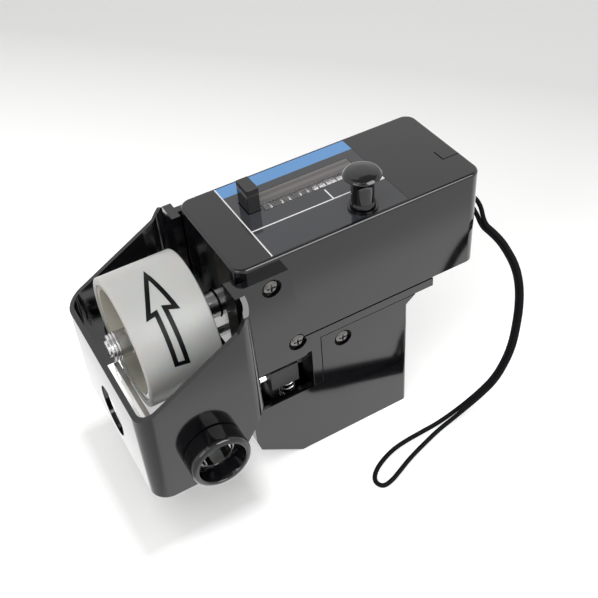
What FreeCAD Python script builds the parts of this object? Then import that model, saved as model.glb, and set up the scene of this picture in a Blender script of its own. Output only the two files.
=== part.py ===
import FreeCAD, Part
import math
import os

import Sketcher

# Hand-held cable length counter.
# The frame: origin on the surface it stands on, under the middle of its length; +Z up.
# +X runs from the measuring wheel to the wrist strap, and the cable passes along Y.
# Positions along the tool are set back from the counter housing's front face (behind),
# and heights are drops below the housing's flat top (below). All sizes are millimetres.
DIMENSIONS = {
    # counter housing
    "housing_length": 129.2,
    "housing_width": 60.0,
    "housing_height": 54.3,
    "housing_wall": 3.0,
    "housing_corner_radius": 6.0,
    "housing_edge_radius": 1.5,
    "seam_height": 0.9,
    "seam_depth": 0.8,
    "stand_height": 135.6,
    "fit_gap": 0.3,
    "running_gap": 0.05,
    # label and window in the housing's top
    "label_setback": 18.3,
    "label_length": 70.6,
    "label_side_margin": 1.7,
    "label_thickness": 0.8,
    "window_setback": 31.0,
    "window_length": 51.5,
    "window_width": 13.8,
    "window_ledge": 1.2,
    # corner mark moulded into the top
    "mark_setback": 118.9,
    "mark_side": -12.8,
    "mark_leg": 7.5,
    "mark_width": 0.7,
    "mark_depth": 0.4,
    # wheel guard: reach and width are those of its lower edge, and its walls have draft
    "guard_reach": 61.0,
    "guard_width": 96.4,
    "guard_draft": 0.022,
    "guard_wall": 2.4,
    "guard_front_radius": 9.0,
    "guard_rear_radius": 7.0,
    "guard_drop": 96.0,
    "guard_rim_front_drop": 46.3,
    "guard_rim_bend_reach": 8.8,
    "guard_rim_bend_drop": 17.0,
    "guard_rim_rise_reach": 4.8,
    "guard_rim_rise_drop": 11.0,
    "guard_shoulder_side": 44.5,
    "guard_flange_thickness": 4.5,
    "guard_flange_side": 26.4,
    "guard_flange_width": 11.6,
    "guard_tail_drop": 69.0,
    "guard_tail_step": 6.0,
    "guard_tail_reach": 21.0,
    "service_hole_diameter": 26.0,
    "service_hole_drop": 79.0,
    # side ears that carry the guard
    "ear_thickness": 4.0,
    "ear_top_drop": 5.4,
    "ear_top_length": 22.9,
    "ear_bottom_drop": 62.3,
    "ear_bottom_length": 30.3,
    "ear_corner_radius": 4.0,
    "screw_diameter": 4.0,
    "screw_head_diameter": 7.4,
    "screw_head_height": 1.9,
    "screw_sink_diameter": 9.6,
    "screw_sink_depth": 2.1,
    "screw_length": 7.0,
    "upper_screw_setback": 14.1,
    "upper_screw_drop": 12.0,
    "lower_screw_setback": 24.2,
    "lower_screw_drop": 50.9,
    # measuring wheel: 200 mm round
    "wheel_diameter": 63.66,
    "wheel_width": 36.4,
    "wheel_middle_reach": 29.4,
    "wheel_axis_drop": 40.0,
    "tyre_thickness": 3.4,
    "wheel_ring_thickness": 2.6,
    "wheel_web_thickness": 4.0,
    "wheel_boss_diameter": 18.0,
    "wheel_boss_length": 24.0,
    "wheel_opening_radius": 5.6,
    "wheel_opening_circle": 17.2,
    "wheel_openings": 6.0,
    "wheel_shaft_diameter": 8.0,
    "wheel_shaft_reach": 54.8,
    "wheel_shaft_setback": 21.6,
    "collar_diameter": 13.0,
    "collar_length": 7.6,
    "clip_diameter": 13.6,
    "clip_thickness": 1.2,
    "clip_gap": 0.5,
    "bearing_diameter": 16.0,
    "bearing_width": 5.0,
    # guide bushes for the cable
    "cable_axis_drop": 76.9,
    "bush_reach": 30.0,
    "bush_diameter": 29.4,
    "bush_proud": 10.5,
    "bush_lip_round": 2.4,
    "bush_mouth_diameter": 22.0,
    "bush_throat_diameter": 17.0,
    "liner_thickness": 0.6,
    "bush_cone_length": 8.0,
    "bush_barrel_diameter": 24.0,
    "bush_nut_diameter": 30.0,
    "bush_nut_thickness": 4.0,
    # saddle under the housing, and the grip with its foot
    "saddle_setback": 0.6,
    "saddle_length": 102.8,
    "flange_thickness": 4.8,
    "block_drop": 65.6,
    "bay_length": 33.0,
    "leg_thickness": 5.2,
    "bay_floor_drop": 91.0,
    "grip_rear_setback": 88.8,
    "gusset_reach": 4.0,
    "gusset_drop": 3.2,
    "grip_wall": 4.0,
    "grip_edge_radius": 2.5,
    "joint_line": 0.35,
    "foot_front_reach": 1.8,
    "foot_nose_drop": 112.0,
    "foot_toe_drop": 119.6,
    "foot_toe_setback": 0.2,
    "foot_flat_setback": 23.2,
    "grip_screw_setback": 50.5,
    "grip_screw_drop": 66.4,
    "tongue_setback": 42.5,
    "tongue_length": 16.0,
    "tongue_height": 13.0,
    "tongue_thickness": 3.6,
    # press mechanism under the wheel
    "knob_travel": 11.0,
    "roller_diameter": 14.0,
    "roller_length": 34.0,
    "roller_axle_diameter": 5.0,
    "roller_axle_inset": 10.0,
    "roller_clearance": 1.2,
    "tie_thickness": 2.4,
    "tie_height": 10.0,
    "tie_side_margin": 5.0,
    "axle_in_carriage": 6.0,
    "carriage_setback": 12.0,
    "carriage_length": 15.0,
    "carriage_side_gap": 0.5,
    "carriage_height": 12.0,
    "post_diameter": 5.0,
    "post_setback": 22.5,
    "post_depth": 4.6,
    "shelf_drop": 112.0,
    "shelf_thickness": 4.0,
    "lug_length": 6.0,
    "lug_height": 8.0,
    "lug_thickness": 3.6,
    "rocker_span": 39.0,
    "rocker_thickness": 3.0,
    "rocker_offset": 5.0,
    "rocker_width": 8.0,
    "rocker_slot": 0.35,
    "rocker_slot_rise": 10.0,
    "pivot_diameter": 6.0,
    "boss_diameter": 11.0,
    "dowel_diameter": 4.0,
    "press_wire": 0.9,
    "press_coil_radius": 3.8,
    "press_turns": 7.0,
    # pull knob
    "knob_setback": 69.0,
    "knob_inset": 9.0,
    "knob_height": 20.2,
    "knob_cap_diameter": 18.2,
    "knob_cap_edge": 1.6,
    "knob_crown": 1.9,
    "knob_waist_diameter": 10.6,
    "knob_foot_diameter": 12.6,
    "knob_collar_diameter": 14.0,
    "knob_collar_height": 1.2,
    "plunger_diameter": 6.0,
    # reset button
    "button_setback": 26.7,
    "button_side": 7.9,
    "button_length": 6.0,
    "button_width": 10.5,
    "button_height": 12.6,
    "button_travel": 4.0,
    "button_flange": 1.6,
    "button_stem_diameter": 3.0,
    "button_stem_drop": 17.0,
    "button_stem_setback": 25.2,
    "reset_wire": 0.6,
    "reset_coil_radius": 2.8,
    "reset_turns": 4.0,
    "reset_tab_drop": 13.0,
    # counter
    "counter_axis_side": 8.0,
    "counter_axis_drop": 15.0,
    "drum_diameter": 23.0,
    "drum_pitch": 9.75,
    "drum_gap": 0.4,
    "drum_rim": 1.8,
    "drum_hub_diameter": 9.0,
    "drum_web": 2.0,
    "counter_setback": 30.1,
    "counter_shaft_diameter": 5.0,
    "frame_plate": 1.0,
    "frame_left_inset": 4.0,
    "frame_right_side": 12.5,
    "frame_top_drop": 4.0,
    "frame_rear_setback": 84.8,
    "transfer_angle": 35.0,
    "transfer_shaft_diameter": 2.5,
    "transfer_width": 5.0,
    "comb_inset": 6.0,
    "comb_drop": 24.0,
    "comb_shaft_diameter": 3.0,
    "comb_height": 11.0,
    "comb_thickness": 1.2,
    # gears
    "gear_module": 0.8,
    "gear_width": 4.0,
    "gear_backlash": 0.14,
    "wheel_gear_setback": 10.0,
    "counter_gear_setback": 79.6,
    "lay_shaft_diameter": 3.0,
    "bracket_setback": 3.4,
    "bracket_span": 17.2,
    "bracket_foot": 1.2,
    "chassis_thickness": 2.0,
    # wrist strap
    "strap_side": -12.0,
    "strap_drop": 27.0,
    "strap_recess_width": 12.0,
    "strap_recess_height": 12.0,
    "strap_recess_depth": 7.0,
    "strap_boss_wall": 3.0,
    "strap_pin_diameter": 3.0,
    "strap_knot_diameter": 6.4,
    "strap_knot_height": 6.4,
    "cord_diameter": 2.4,
}

WHEEL_TEETH = 24
LAY_IN_TEETH = 16
LAY_OUT_TEETH = 24
COUNTER_TEETH = 18
TRANSFER_TEETH = 8
DRUMS = 5
PRESSURE_ANGLE = math.radians(20)

document = FreeCAD.newDocument("cable_length_counter")
sheet = document.addObject("Spreadsheet::Sheet", "Dims")
parts = []


class Size:
    """A length that knows its number and the sheet expression that it comes from."""

    def __init__(self, text, value):
        self.text = text
        self.value = value

    def __float__(self):
        return self.value

    def __add__(self, other):
        other = as_size(other)
        return Size(f"({self.text} + {other.text})", self.value + other.value)

    def __sub__(self, other):
        other = as_size(other)
        return Size(f"({self.text} - {other.text})", self.value - other.value)

    def __mul__(self, other):
        other = as_size(other)
        return Size(f"({self.text} * {other.text})", self.value * other.value)

    def __truediv__(self, other):
        other = as_size(other)
        return Size(f"({self.text} / {other.text})", self.value / other.value)

    def __neg__(self):
        return Size(f"(0 - {self.text})", -self.value)

    def __radd__(self, other):
        return as_size(other) + self

    def __rsub__(self, other):
        return as_size(other) - self

    def __rmul__(self, other):
        return as_size(other) * self


def as_size(number):
    """A plain number as a size."""
    if isinstance(number, Size):
        return number
    return Size(f"({float(number)})", float(number))


def root(size):
    """Square root of a size."""
    return Size(f"sqrt({size.text})", math.sqrt(size.value))


class Sizes:
    """The sheet's cells, by name."""

    def __init__(self, table):
        for row, (name, value) in enumerate(table.items(), start=1):
            sheet.set(f"A{row}", name)
            sheet.set(f"B{row}", str(value))
            sheet.setAlias(f"B{row}", name)
            setattr(self, name, Size(f"Dims.{name}", float(value)))


d = Sizes(DIMENSIONS)
document.recompute()

FRONT = (d.guard_reach - d.housing_length) / 2


def behind(setback):
    """X of a point that lies this far behind the housing's front face."""
    return FRONT + setback


def ahead(reach):
    """X of a point that lies this far ahead of the housing's front face."""
    return FRONT - reach


def below(drop):
    """Z of a point that lies this far below the housing's top."""
    return d.stand_height - drop


def bind(feature, name, size):
    """Bind a property of a feature to the sheet."""
    feature.setExpression(name, as_size(size).text)


def place(feature, x, y, z):
    """Bind where a feature stands."""
    bind(feature, "Placement.Base.x", x)
    bind(feature, "Placement.Base.y", y)
    bind(feature, "Placement.Base.z", z)


def keep(feature, node):
    """Name a finished sub-part."""
    feature.Label = node
    parts.append(feature)
    return feature


def block(x, y, z):
    """A box from three (low, high) pairs."""
    box = document.addObject("Part::Box", "block")
    bind(box, "Length", x[1] - x[0])
    bind(box, "Width", y[1] - y[0])
    bind(box, "Height", z[1] - z[0])
    place(box, x[0], y[0], z[0])
    return box


TURN_Z_TO = {
    "X": FreeCAD.Rotation(FreeCAD.Vector(0, 1, 0), 90),
    "Y": FreeCAD.Rotation(FreeCAD.Vector(1, 0, 0), -90),
    "Z": FreeCAD.Rotation(),
}
TURN_X_TO = {
    "X": FreeCAD.Rotation(),
    "Y": FreeCAD.Rotation(FreeCAD.Vector(0, 0, 1), 90),
    "-Y": FreeCAD.Rotation(FreeCAD.Vector(0, 0, 1), -90),
    "Z": FreeCAD.Rotation(FreeCAD.Vector(0, 1, 0), -90),
}


TURN_Y_TO_Z = FreeCAD.Rotation(FreeCAD.Vector(1, 0, 0), 90)


def rod(axis, low, high, centre, diameter):
    """A cylinder along an axis; centre holds the other two coordinates in X, Y, Z order."""
    cylinder = document.addObject("Part::Cylinder", "rod")
    bind(cylinder, "Radius", diameter / 2)
    bind(cylinder, "Height", high - low)
    cylinder.Placement = FreeCAD.Placement(FreeCAD.Vector(), TURN_Z_TO[axis])
    if axis == "X":
        place(cylinder, low, centre[0], centre[1])
    elif axis == "Y":
        place(cylinder, centre[0], low, centre[1])
    else:
        place(cylinder, centre[0], centre[1], low)
    return cylinder


def join(*shapes):
    """One solid from several that meet."""
    union = document.addObject("Part::MultiFuse", "join")
    union.Shapes = list(shapes)
    union.Refine = True
    return union


def cut(base, *tools):
    """The base without the tools."""
    cutter = tools[0] if len(tools) == 1 else join(*tools)
    difference = document.addObject("Part::Cut", "cut")
    difference.Base = base
    difference.Tool = cutter
    difference.Refine = True
    return difference


def group(*shapes):
    """Several equal pieces kept as separate solids of one sub-part."""
    compound = document.addObject("Part::Compound", "group")
    compound.Links = list(shapes)
    return compound


def origin_plane(body, role):
    """One of the body's own origin planes."""
    for feature in body.Origin.OriginFeatures:
        if feature.Role == role:
            return feature
    raise ValueError(role)


def outline_sketch(body, role, points):
    """A closed outline whose corners are each bound to the sheet."""
    sketch = body.newObject("Sketcher::SketchObject", "outline")
    sketch.AttachmentSupport = [(origin_plane(body, role), "")]
    sketch.MapMode = "FlatFace"
    corners = [(as_size(across), as_size(up)) for across, up in points]
    for index, (across, up) in enumerate(corners):
        following = corners[(index + 1) % len(corners)]
        start = FreeCAD.Vector(float(across), float(up), 0)
        end = FreeCAD.Vector(float(following[0]), float(following[1]), 0)
        sketch.addGeometry(Part.LineSegment(start, end), False)
    for index, (across, up) in enumerate(corners):
        following = (index + 1) % len(corners)
        sketch.addConstraint(Sketcher.Constraint("Coincident", index, 2, following, 1))
        for kind, size, axis in (("DistanceX", across, -2), ("DistanceY", up, -1)):
            if size.value == 0:
                sketch.addConstraint(Sketcher.Constraint("PointOnObject", index, 1, axis))
                continue
            rule = Sketcher.Constraint(kind, -1, 1, index, 1, size.value)
            number = sketch.addConstraint(rule)
            sketch.setExpression(f"Constraints[{number}]", size.text)
    return sketch


def turned(axis, start, centre, profile):
    """A turned piece: profile holds (along, radius) corners, measured from start."""
    body = document.addObject("PartDesign::Body", "turned")
    sketch = outline_sketch(body, "XY_Plane", profile)
    revolution = body.newObject("PartDesign::Revolution", "revolution")
    revolution.Profile = (sketch, [""])
    revolution.ReferenceAxis = (sketch, ["H_Axis"])
    revolution.Angle = 360
    sketch.Visibility = False
    body.Placement = FreeCAD.Placement(FreeCAD.Vector(), TURN_X_TO[axis])
    if axis == "X":
        place(body, start, centre[0], centre[1])
    elif axis == "Z":
        place(body, centre[0], centre[1], start)
    else:
        place(body, centre[0], start, centre[1])
    return body


def slab(points, low, high):
    """A piece with an outline of (x, z) corners that runs from y = low to y = high."""
    body = document.addObject("PartDesign::Body", "slab")
    sketch = outline_sketch(body, "XZ_Plane", points)
    pad = body.newObject("PartDesign::Pad", "pad")
    pad.Profile = (sketch, [""])
    bind(pad, "Length", high - low)
    sketch.Visibility = False
    place(body, as_size(0), high, as_size(0))
    return body


def plate_across(points, low, high):
    """A piece with an outline of (y, z) corners that runs from x = low to x = high."""
    body = document.addObject("PartDesign::Body", "plate")
    sketch = outline_sketch(body, "YZ_Plane", points)
    pad = body.newObject("PartDesign::Pad", "pad")
    pad.Profile = (sketch, [""])
    bind(pad, "Length", high - low)
    sketch.Visibility = False
    place(body, low, as_size(0), as_size(0))
    return body


def round_edges(body, radius, chosen):
    """Round the chosen edges of a body with a radius bound to the sheet."""
    document.recompute()
    base = body.Tip
    names = []
    for index, edge in enumerate(base.Shape.Edges, start=1):
        if chosen(edge):
            names.append(f"Edge{index}")
    if not names:
        raise ValueError("no edge to round")
    fillet = body.newObject("PartDesign::Fillet", "rounding")
    fillet.Base = (base, names)
    bind(fillet, "Radius", radius)
    document.recompute()
    return body


def is_upright(edge):
    """True for a straight vertical edge."""
    ends = [vertex.Point for vertex in edge.Vertexes]
    if len(ends) < 2:
        return False
    flat = math.hypot(ends[0].x - ends[1].x, ends[0].y - ends[1].y)
    return flat < 1e-6 and abs(ends[0].z - ends[1].z) > 1e-6


def rounded_block(x, half_width, z, corner_radius, edge_radius=None):
    """A box with rounded upright corners and, if asked, a rounded top edge."""
    body = document.addObject("PartDesign::Body", "rounded")
    length = x[1] - x[0]
    corners = [(0, -half_width), (length, -half_width), (length, half_width), (0, half_width)]
    sketch = outline_sketch(body, "XY_Plane", corners)
    pad = body.newObject("PartDesign::Pad", "pad")
    pad.Profile = (sketch, [""])
    bind(pad, "Length", z[1] - z[0])
    sketch.Visibility = False
    round_edges(body, corner_radius, is_upright)
    if edge_radius is not None:
        top = float(z[1] - z[0])
        round_edges(body, edge_radius, lambda edge: edge.BoundBox.ZMin > top - 1e-6)
    place(body, x[0], as_size(0), z[0])
    return body


def mirrored(feature):
    """The same piece on the tool's other side."""
    twin = document.addObject("Part::Mirroring", "mirrored")
    twin.Source = feature
    twin.Base = FreeCAD.Vector(0, 0, 0)
    twin.Normal = FreeCAD.Vector(0, 1, 0)
    return twin


def washer(axis, low, high, centre, outer, inner):
    """A plain ring."""
    margin = as_size(1)
    return cut(rod(axis, low, high, centre, outer),
               rod(axis, low - margin, high + margin, centre, inner))


# Places shared by several sub-parts.

HALF = d.housing_width / 2
GUARD_FLOOR = below(d.guard_drop)
GUARD_HALF = d.guard_width / 2 - d.guard_draft * (d.guard_drop - d.cable_axis_drop)
EAR_FACE = HALF + d.ear_thickness
TOP = below(as_size(0))
SEAM = below(d.housing_height)
CHASSIS_TOP = SEAM + d.chassis_thickness
WHEEL_AXIS = (as_size(0), below(d.wheel_axis_drop))
COUNTER_AXIS = (d.counter_axis_side, below(d.counter_axis_drop))
WHEEL_MIDDLE = ahead(d.wheel_middle_reach)
CABLE_Z = below(d.cable_axis_drop)
OVER = as_size(1)

WHEEL_PITCH_RADIUS = d.gear_module * WHEEL_TEETH / 2
LAY_IN_PITCH_RADIUS = d.gear_module * LAY_IN_TEETH / 2
LAY_OUT_PITCH_RADIUS = d.gear_module * LAY_OUT_TEETH / 2
COUNTER_PITCH_RADIUS = d.gear_module * COUNTER_TEETH / 2


def lay_axis():
    """The lay shaft meets both gears: it is the apex of a triangle on the two axes."""
    first = WHEEL_PITCH_RADIUS + LAY_IN_PITCH_RADIUS
    second = LAY_OUT_PITCH_RADIUS + COUNTER_PITCH_RADIUS
    across = COUNTER_AXIS[0] - WHEEL_AXIS[0]
    up = COUNTER_AXIS[1] - WHEEL_AXIS[1]
    span = root(across * across + up * up)
    along = (first * first - second * second + span * span) / (span * 2)
    aside = root(first * first - along * along)
    side = WHEEL_AXIS[0] + (across * along + up * aside) / span
    height = WHEEL_AXIS[1] + (up * along - across * aside) / span
    return (side, height)


LAY_AXIS = lay_axis()

ROLLER_RADIUS = d.roller_diameter / 2
ROLLER_Z = WHEEL_AXIS[1] - d.wheel_diameter / 2 - d.roller_clearance - ROLLER_RADIUS
HALF_TRAVEL = d.knob_travel / 2
AXLE_SIDE = HALF - d.roller_axle_inset
AXLE_SIDES = (-AXLE_SIDE, AXLE_SIDE)
KNOB_Y = d.knob_inset - HALF
ROCKER_Y = KNOB_Y + d.rocker_offset
CARRIAGE_Z = (ROLLER_Z - d.carriage_height / 2, ROLLER_Z + d.carriage_height / 2)
PIVOT_X = behind(d.knob_setback) - d.rocker_span / 2
PIVOT_Z = ROLLER_Z - HALF_TRAVEL
CARRIAGE_PIN = (PIVOT_X - d.rocker_span / 2, ROLLER_Z)
PLUNGER_PIN = (behind(d.knob_setback), ROLLER_Z - d.knob_travel)
ROCKER_LOW = ROCKER_Y - d.rocker_thickness / 2
ROCKER_HIGH = ROCKER_Y + d.rocker_thickness / 2
LUG_LOW = ROCKER_HIGH + d.fit_gap * 4
FLANGE_LOW = below(d.housing_height + d.flange_thickness)
BAY_REAR = behind(d.bay_length)
LEG_REAR = behind(d.bay_length + d.leg_thickness)
BAY_FLOOR = below(d.bay_floor_drop)
GRIP_REAR = behind(d.grip_rear_setback)
GRIP_TOP = FLANGE_LOW - d.joint_line
INNER_HALF = HALF - d.grip_wall
LABEL_HALF = HALF - d.label_side_margin
KNOB_XY = (behind(d.knob_setback), KNOB_Y)
DRUM_WIDTH = d.drum_pitch - d.drum_gap


# Wheel guard and what fastens it

def ear():
    """The right ear: a flat plate on the housing's side with its lower rear corner rounded."""
    front = ahead(d.fit_gap + d.guard_wall)
    lower_rear = (behind(d.ear_bottom_length), below(d.ear_bottom_drop))
    body = slab([
        (front, below(d.ear_top_drop)),
        (behind(d.ear_top_length), below(d.ear_top_drop)),
        lower_rear,
        (front, below(d.ear_bottom_drop)),
    ], -EAR_FACE, -HALF)

    def is_lower_rear(edge):
        ends = [vertex.Point for vertex in edge.Vertexes]
        near = [abs(point.x - float(lower_rear[0])) < 1e-3
                and abs(point.z - float(lower_rear[1])) < 1e-3 for point in ends]
        return len(ends) == 2 and all(near)

    return round_edges(body, d.ear_corner_radius, is_lower_rear)


def drafted_box(inset, low, high, front_radius, rear_radius):
    """The guard's block, or the space in it: the front and both sides lean in upwards."""
    body = document.addObject("PartDesign::Body", "drafted")
    wedge = body.newObject("PartDesign::AdditiveWedge", "wedge")
    rear = ahead(d.fit_gap) - inset
    bind(wedge, "Ymin", as_size(0))
    bind(wedge, "Ymax", high - low)
    for mark, level in (("", low), ("2", high)):
        lean = d.guard_draft * (level - GUARD_FLOOR)
        half = d.guard_width / 2 - lean - inset
        bind(wedge, f"X{mark}min", ahead(d.guard_reach) + lean + inset)
        bind(wedge, f"X{mark}max", rear)
        bind(wedge, f"Z{mark}min", -half)
        bind(wedge, f"Z{mark}max", half)

    def stands(edge):
        return edge.BoundBox.YLength > 1

    def is_rear(edge):
        return edge.BoundBox.XMin > float(rear) - 1e-3

    round_edges(body, front_radius, lambda edge: stands(edge) and not is_rear(edge))
    round_edges(body, rear_radius, lambda edge: stands(edge) and is_rear(edge))
    body.Placement = FreeCAD.Placement(FreeCAD.Vector(), TURN_Y_TO_Z)
    place(body, as_size(0), as_size(0), low)
    return body


SCREW_PLACES = [
    (behind(d.upper_screw_setback), below(d.upper_screw_drop)),
    (behind(d.lower_screw_setback), below(d.lower_screw_drop)),
]


def screw_holes(places, outer_face):
    """Holes for side screws, from a side face inwards, on both sides."""
    holes = []
    for place_xz in places:
        hole = rod("Y", -outer_face - OVER, -outer_face + d.screw_length + OVER, place_xz,
                   d.screw_diameter + d.running_gap * 2)
        holes += [hole, mirrored(hole)]
    return holes


def screw_sinks(places, outer_face):
    """Counterbores for the heads of side screws."""
    sinks = []
    for place_xz in places:
        sink = rod("Y", -outer_face - OVER, -outer_face + d.screw_sink_depth, place_xz,
                   d.screw_sink_diameter)
        sinks += [sink, mirrored(sink)]
    return sinks


def side_screws(places, outer_face):
    """Pan-head screws seated on the counterbore floors, with a cross recess."""
    seat = -outer_face + d.screw_sink_depth
    screws = []
    for place_xz in places:
        slot_half = d.screw_head_diameter * 0.28
        slot_width = d.screw_diameter * 0.11
        slot_floor = seat - d.screw_head_height * 0.45
        screw = turned("Y", seat - d.screw_head_height, place_xz, [
            (0, 0),
            (0, d.screw_head_diameter * 0.3),
            (d.screw_head_height * 0.35, d.screw_head_diameter * 0.46),
            (d.screw_head_height * 0.6, d.screw_head_diameter / 2),
            (d.screw_head_height, d.screw_head_diameter / 2),
            (d.screw_head_height, d.screw_diameter / 2),
            (d.screw_length - d.screw_sink_depth + d.screw_head_height, d.screw_diameter / 2),
            (d.screw_length - d.screw_sink_depth + d.screw_head_height, 0),
        ])
        level = block((place_xz[0] - slot_half, place_xz[0] + slot_half),
                      (seat - d.screw_head_height - OVER, slot_floor),
                      (place_xz[1] - slot_width, place_xz[1] + slot_width))
        upright = block((place_xz[0] - slot_width, place_xz[0] + slot_width),
                        (seat - d.screw_head_height - OVER, slot_floor),
                        (place_xz[1] - slot_half, place_xz[1] + slot_half))
        finished = cut(screw, level, upright)
        screws += [finished, mirrored(finished)]
    return group(*screws)


def wheel_guard():
    """One moulding round the wheel: front, sides, a flanged rear edge and the side ears."""
    rear_face = ahead(d.fit_gap)
    roof = below(d.ear_top_drop)
    wall = d.guard_wall
    outer = drafted_box(as_size(0), GUARD_FLOOR, roof, d.guard_front_radius,
                        d.guard_rear_radius)
    inner = drafted_box(wall, GUARD_FLOOR - OVER, roof + OVER,
                        d.guard_front_radius - wall, d.guard_rear_radius - wall)
    flange_high = d.guard_flange_side + d.guard_flange_width
    flange = block((rear_face - d.guard_flange_thickness, rear_face),
                   (-flange_high, -d.guard_flange_side), (GUARD_FLOOR, roof))
    rear_gap = block((rear_face - wall - OVER, rear_face + OVER),
                     (-d.guard_flange_side, d.guard_flange_side),
                     (GUARD_FLOOR - OVER, roof + OVER))
    wide = d.guard_width / 2 + OVER
    above_rim = slab([
        (ahead(d.guard_reach), below(d.guard_rim_front_drop)),
        (ahead(d.guard_rim_bend_reach), below(d.guard_rim_bend_drop)),
        (ahead(d.guard_rim_rise_reach), below(d.guard_rim_rise_drop)),
        (rear_face - wall, roof),
        (rear_face - wall, roof + OVER),
        (ahead(d.guard_reach) - OVER, roof + OVER),
        (ahead(d.guard_reach) - OVER, below(d.guard_rim_front_drop)),
    ], -wide, wide)
    tail = [
        (rear_face + OVER, below(d.guard_tail_drop)),
        (rear_face - wall, below(d.guard_tail_drop)),
        (rear_face - d.guard_tail_step, below(d.guard_tail_drop + d.guard_tail_step)),
        (rear_face - d.guard_tail_reach, GUARD_FLOOR - OVER),
        (rear_face + OVER, GUARD_FLOOR - OVER),
    ]
    below_tail = slab(tail, -wide, wide)
    ring = cut(outer, inner, above_rim)
    above_shoulder = plate_across([
        (flange_high, roof),
        (flange_high, roof + OVER),
        (as_size(wide), roof + OVER),
        (as_size(wide), below(d.guard_rim_rise_drop)),
        (d.guard_shoulder_side, below(d.guard_rim_rise_drop)),
    ], ahead(d.guard_rim_rise_reach), rear_face + OVER)
    right_ear = ear()
    solid = join(ring, flange, mirrored(flange), right_ear, mirrored(right_ear))
    service_hole = rod("X", ahead(d.guard_reach) - OVER, ahead(d.guard_reach) + wall * 3,
                       (as_size(0), below(d.service_hole_drop)), d.service_hole_diameter)
    bush_centre = (ahead(d.bush_reach), CABLE_Z)
    bush_holes = rod("Y", -wide, wide, bush_centre, d.bush_barrel_diameter)
    seat = rod("Y", -wide - OVER, -GUARD_HALF, bush_centre, d.bush_diameter + d.fit_gap * 2)
    nut_seat = rod("Y", wall - GUARD_HALF, wall * 2 - GUARD_HALF, bush_centre,
                   d.bush_nut_diameter + d.fit_gap * 2)
    guard = cut(solid, rear_gap, below_tail, above_shoulder, mirrored(above_shoulder),
                service_hole, bush_holes,
                seat, mirrored(seat), nut_seat, mirrored(nut_seat),
                *screw_holes(SCREW_PLACES, EAR_FACE), *screw_sinks(SCREW_PLACES, EAR_FACE))
    return keep(guard, "wheel_guard")


def guide_bush(axis, node):
    """A turned bush that leads the cable in through a rounded mouth."""
    wall_face = GUARD_HALF
    inner_length = d.guard_wall + d.bush_nut_thickness
    length = inner_length + d.bush_proud
    start = wall_face - inner_length
    if axis == "-Y":
        start = -start
    outer = d.bush_diameter / 2
    mouth = d.bush_mouth_diameter / 2
    seat = d.bush_throat_diameter / 2 + d.liner_thickness
    lip = d.bush_lip_round
    bush = turned(axis, start, (ahead(d.bush_reach), CABLE_Z), [
        (0, seat),
        (0, d.bush_barrel_diameter / 2),
        (inner_length, d.bush_barrel_diameter / 2),
        (inner_length, outer - lip * 0.3),
        (inner_length + lip * 0.3, outer),
        (length - lip, outer),
        (length - lip * 0.617, outer - lip * 0.076),
        (length - lip * 0.293, outer - lip * 0.293),
        (length - lip * 0.076, outer - lip * 0.617),
        (length, outer - lip),
        (length, mouth + lip * 0.2),
        (length - lip * 0.3, mouth - lip * 0.15),
        (length - d.bush_cone_length, seat),
    ])
    return keep(bush, node)


def bush_liners():
    """The bright steel tubes in the bushes' bores, which the cable slides on."""
    length = d.guard_wall + d.bush_nut_thickness + d.bush_proud - d.bush_cone_length
    start = d.guard_wall + d.bush_nut_thickness - GUARD_HALF
    liner = washer("Y", start - length, start, (ahead(d.bush_reach), CABLE_Z),
                   d.bush_throat_diameter + d.liner_thickness * 2, d.bush_throat_diameter)
    return keep(group(liner, mirrored(liner)), "bush_liners")


def bush_nuts():
    """The ring nuts that clamp the bushes from inside the guard."""
    inside = GUARD_HALF - d.guard_wall
    nut = washer("Y", -inside, -inside + d.bush_nut_thickness, (ahead(d.bush_reach), CABLE_Z),
                 d.bush_nut_diameter, d.bush_barrel_diameter)
    return keep(group(nut, mirrored(nut)), "bush_nuts")


# Counter housing

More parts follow.
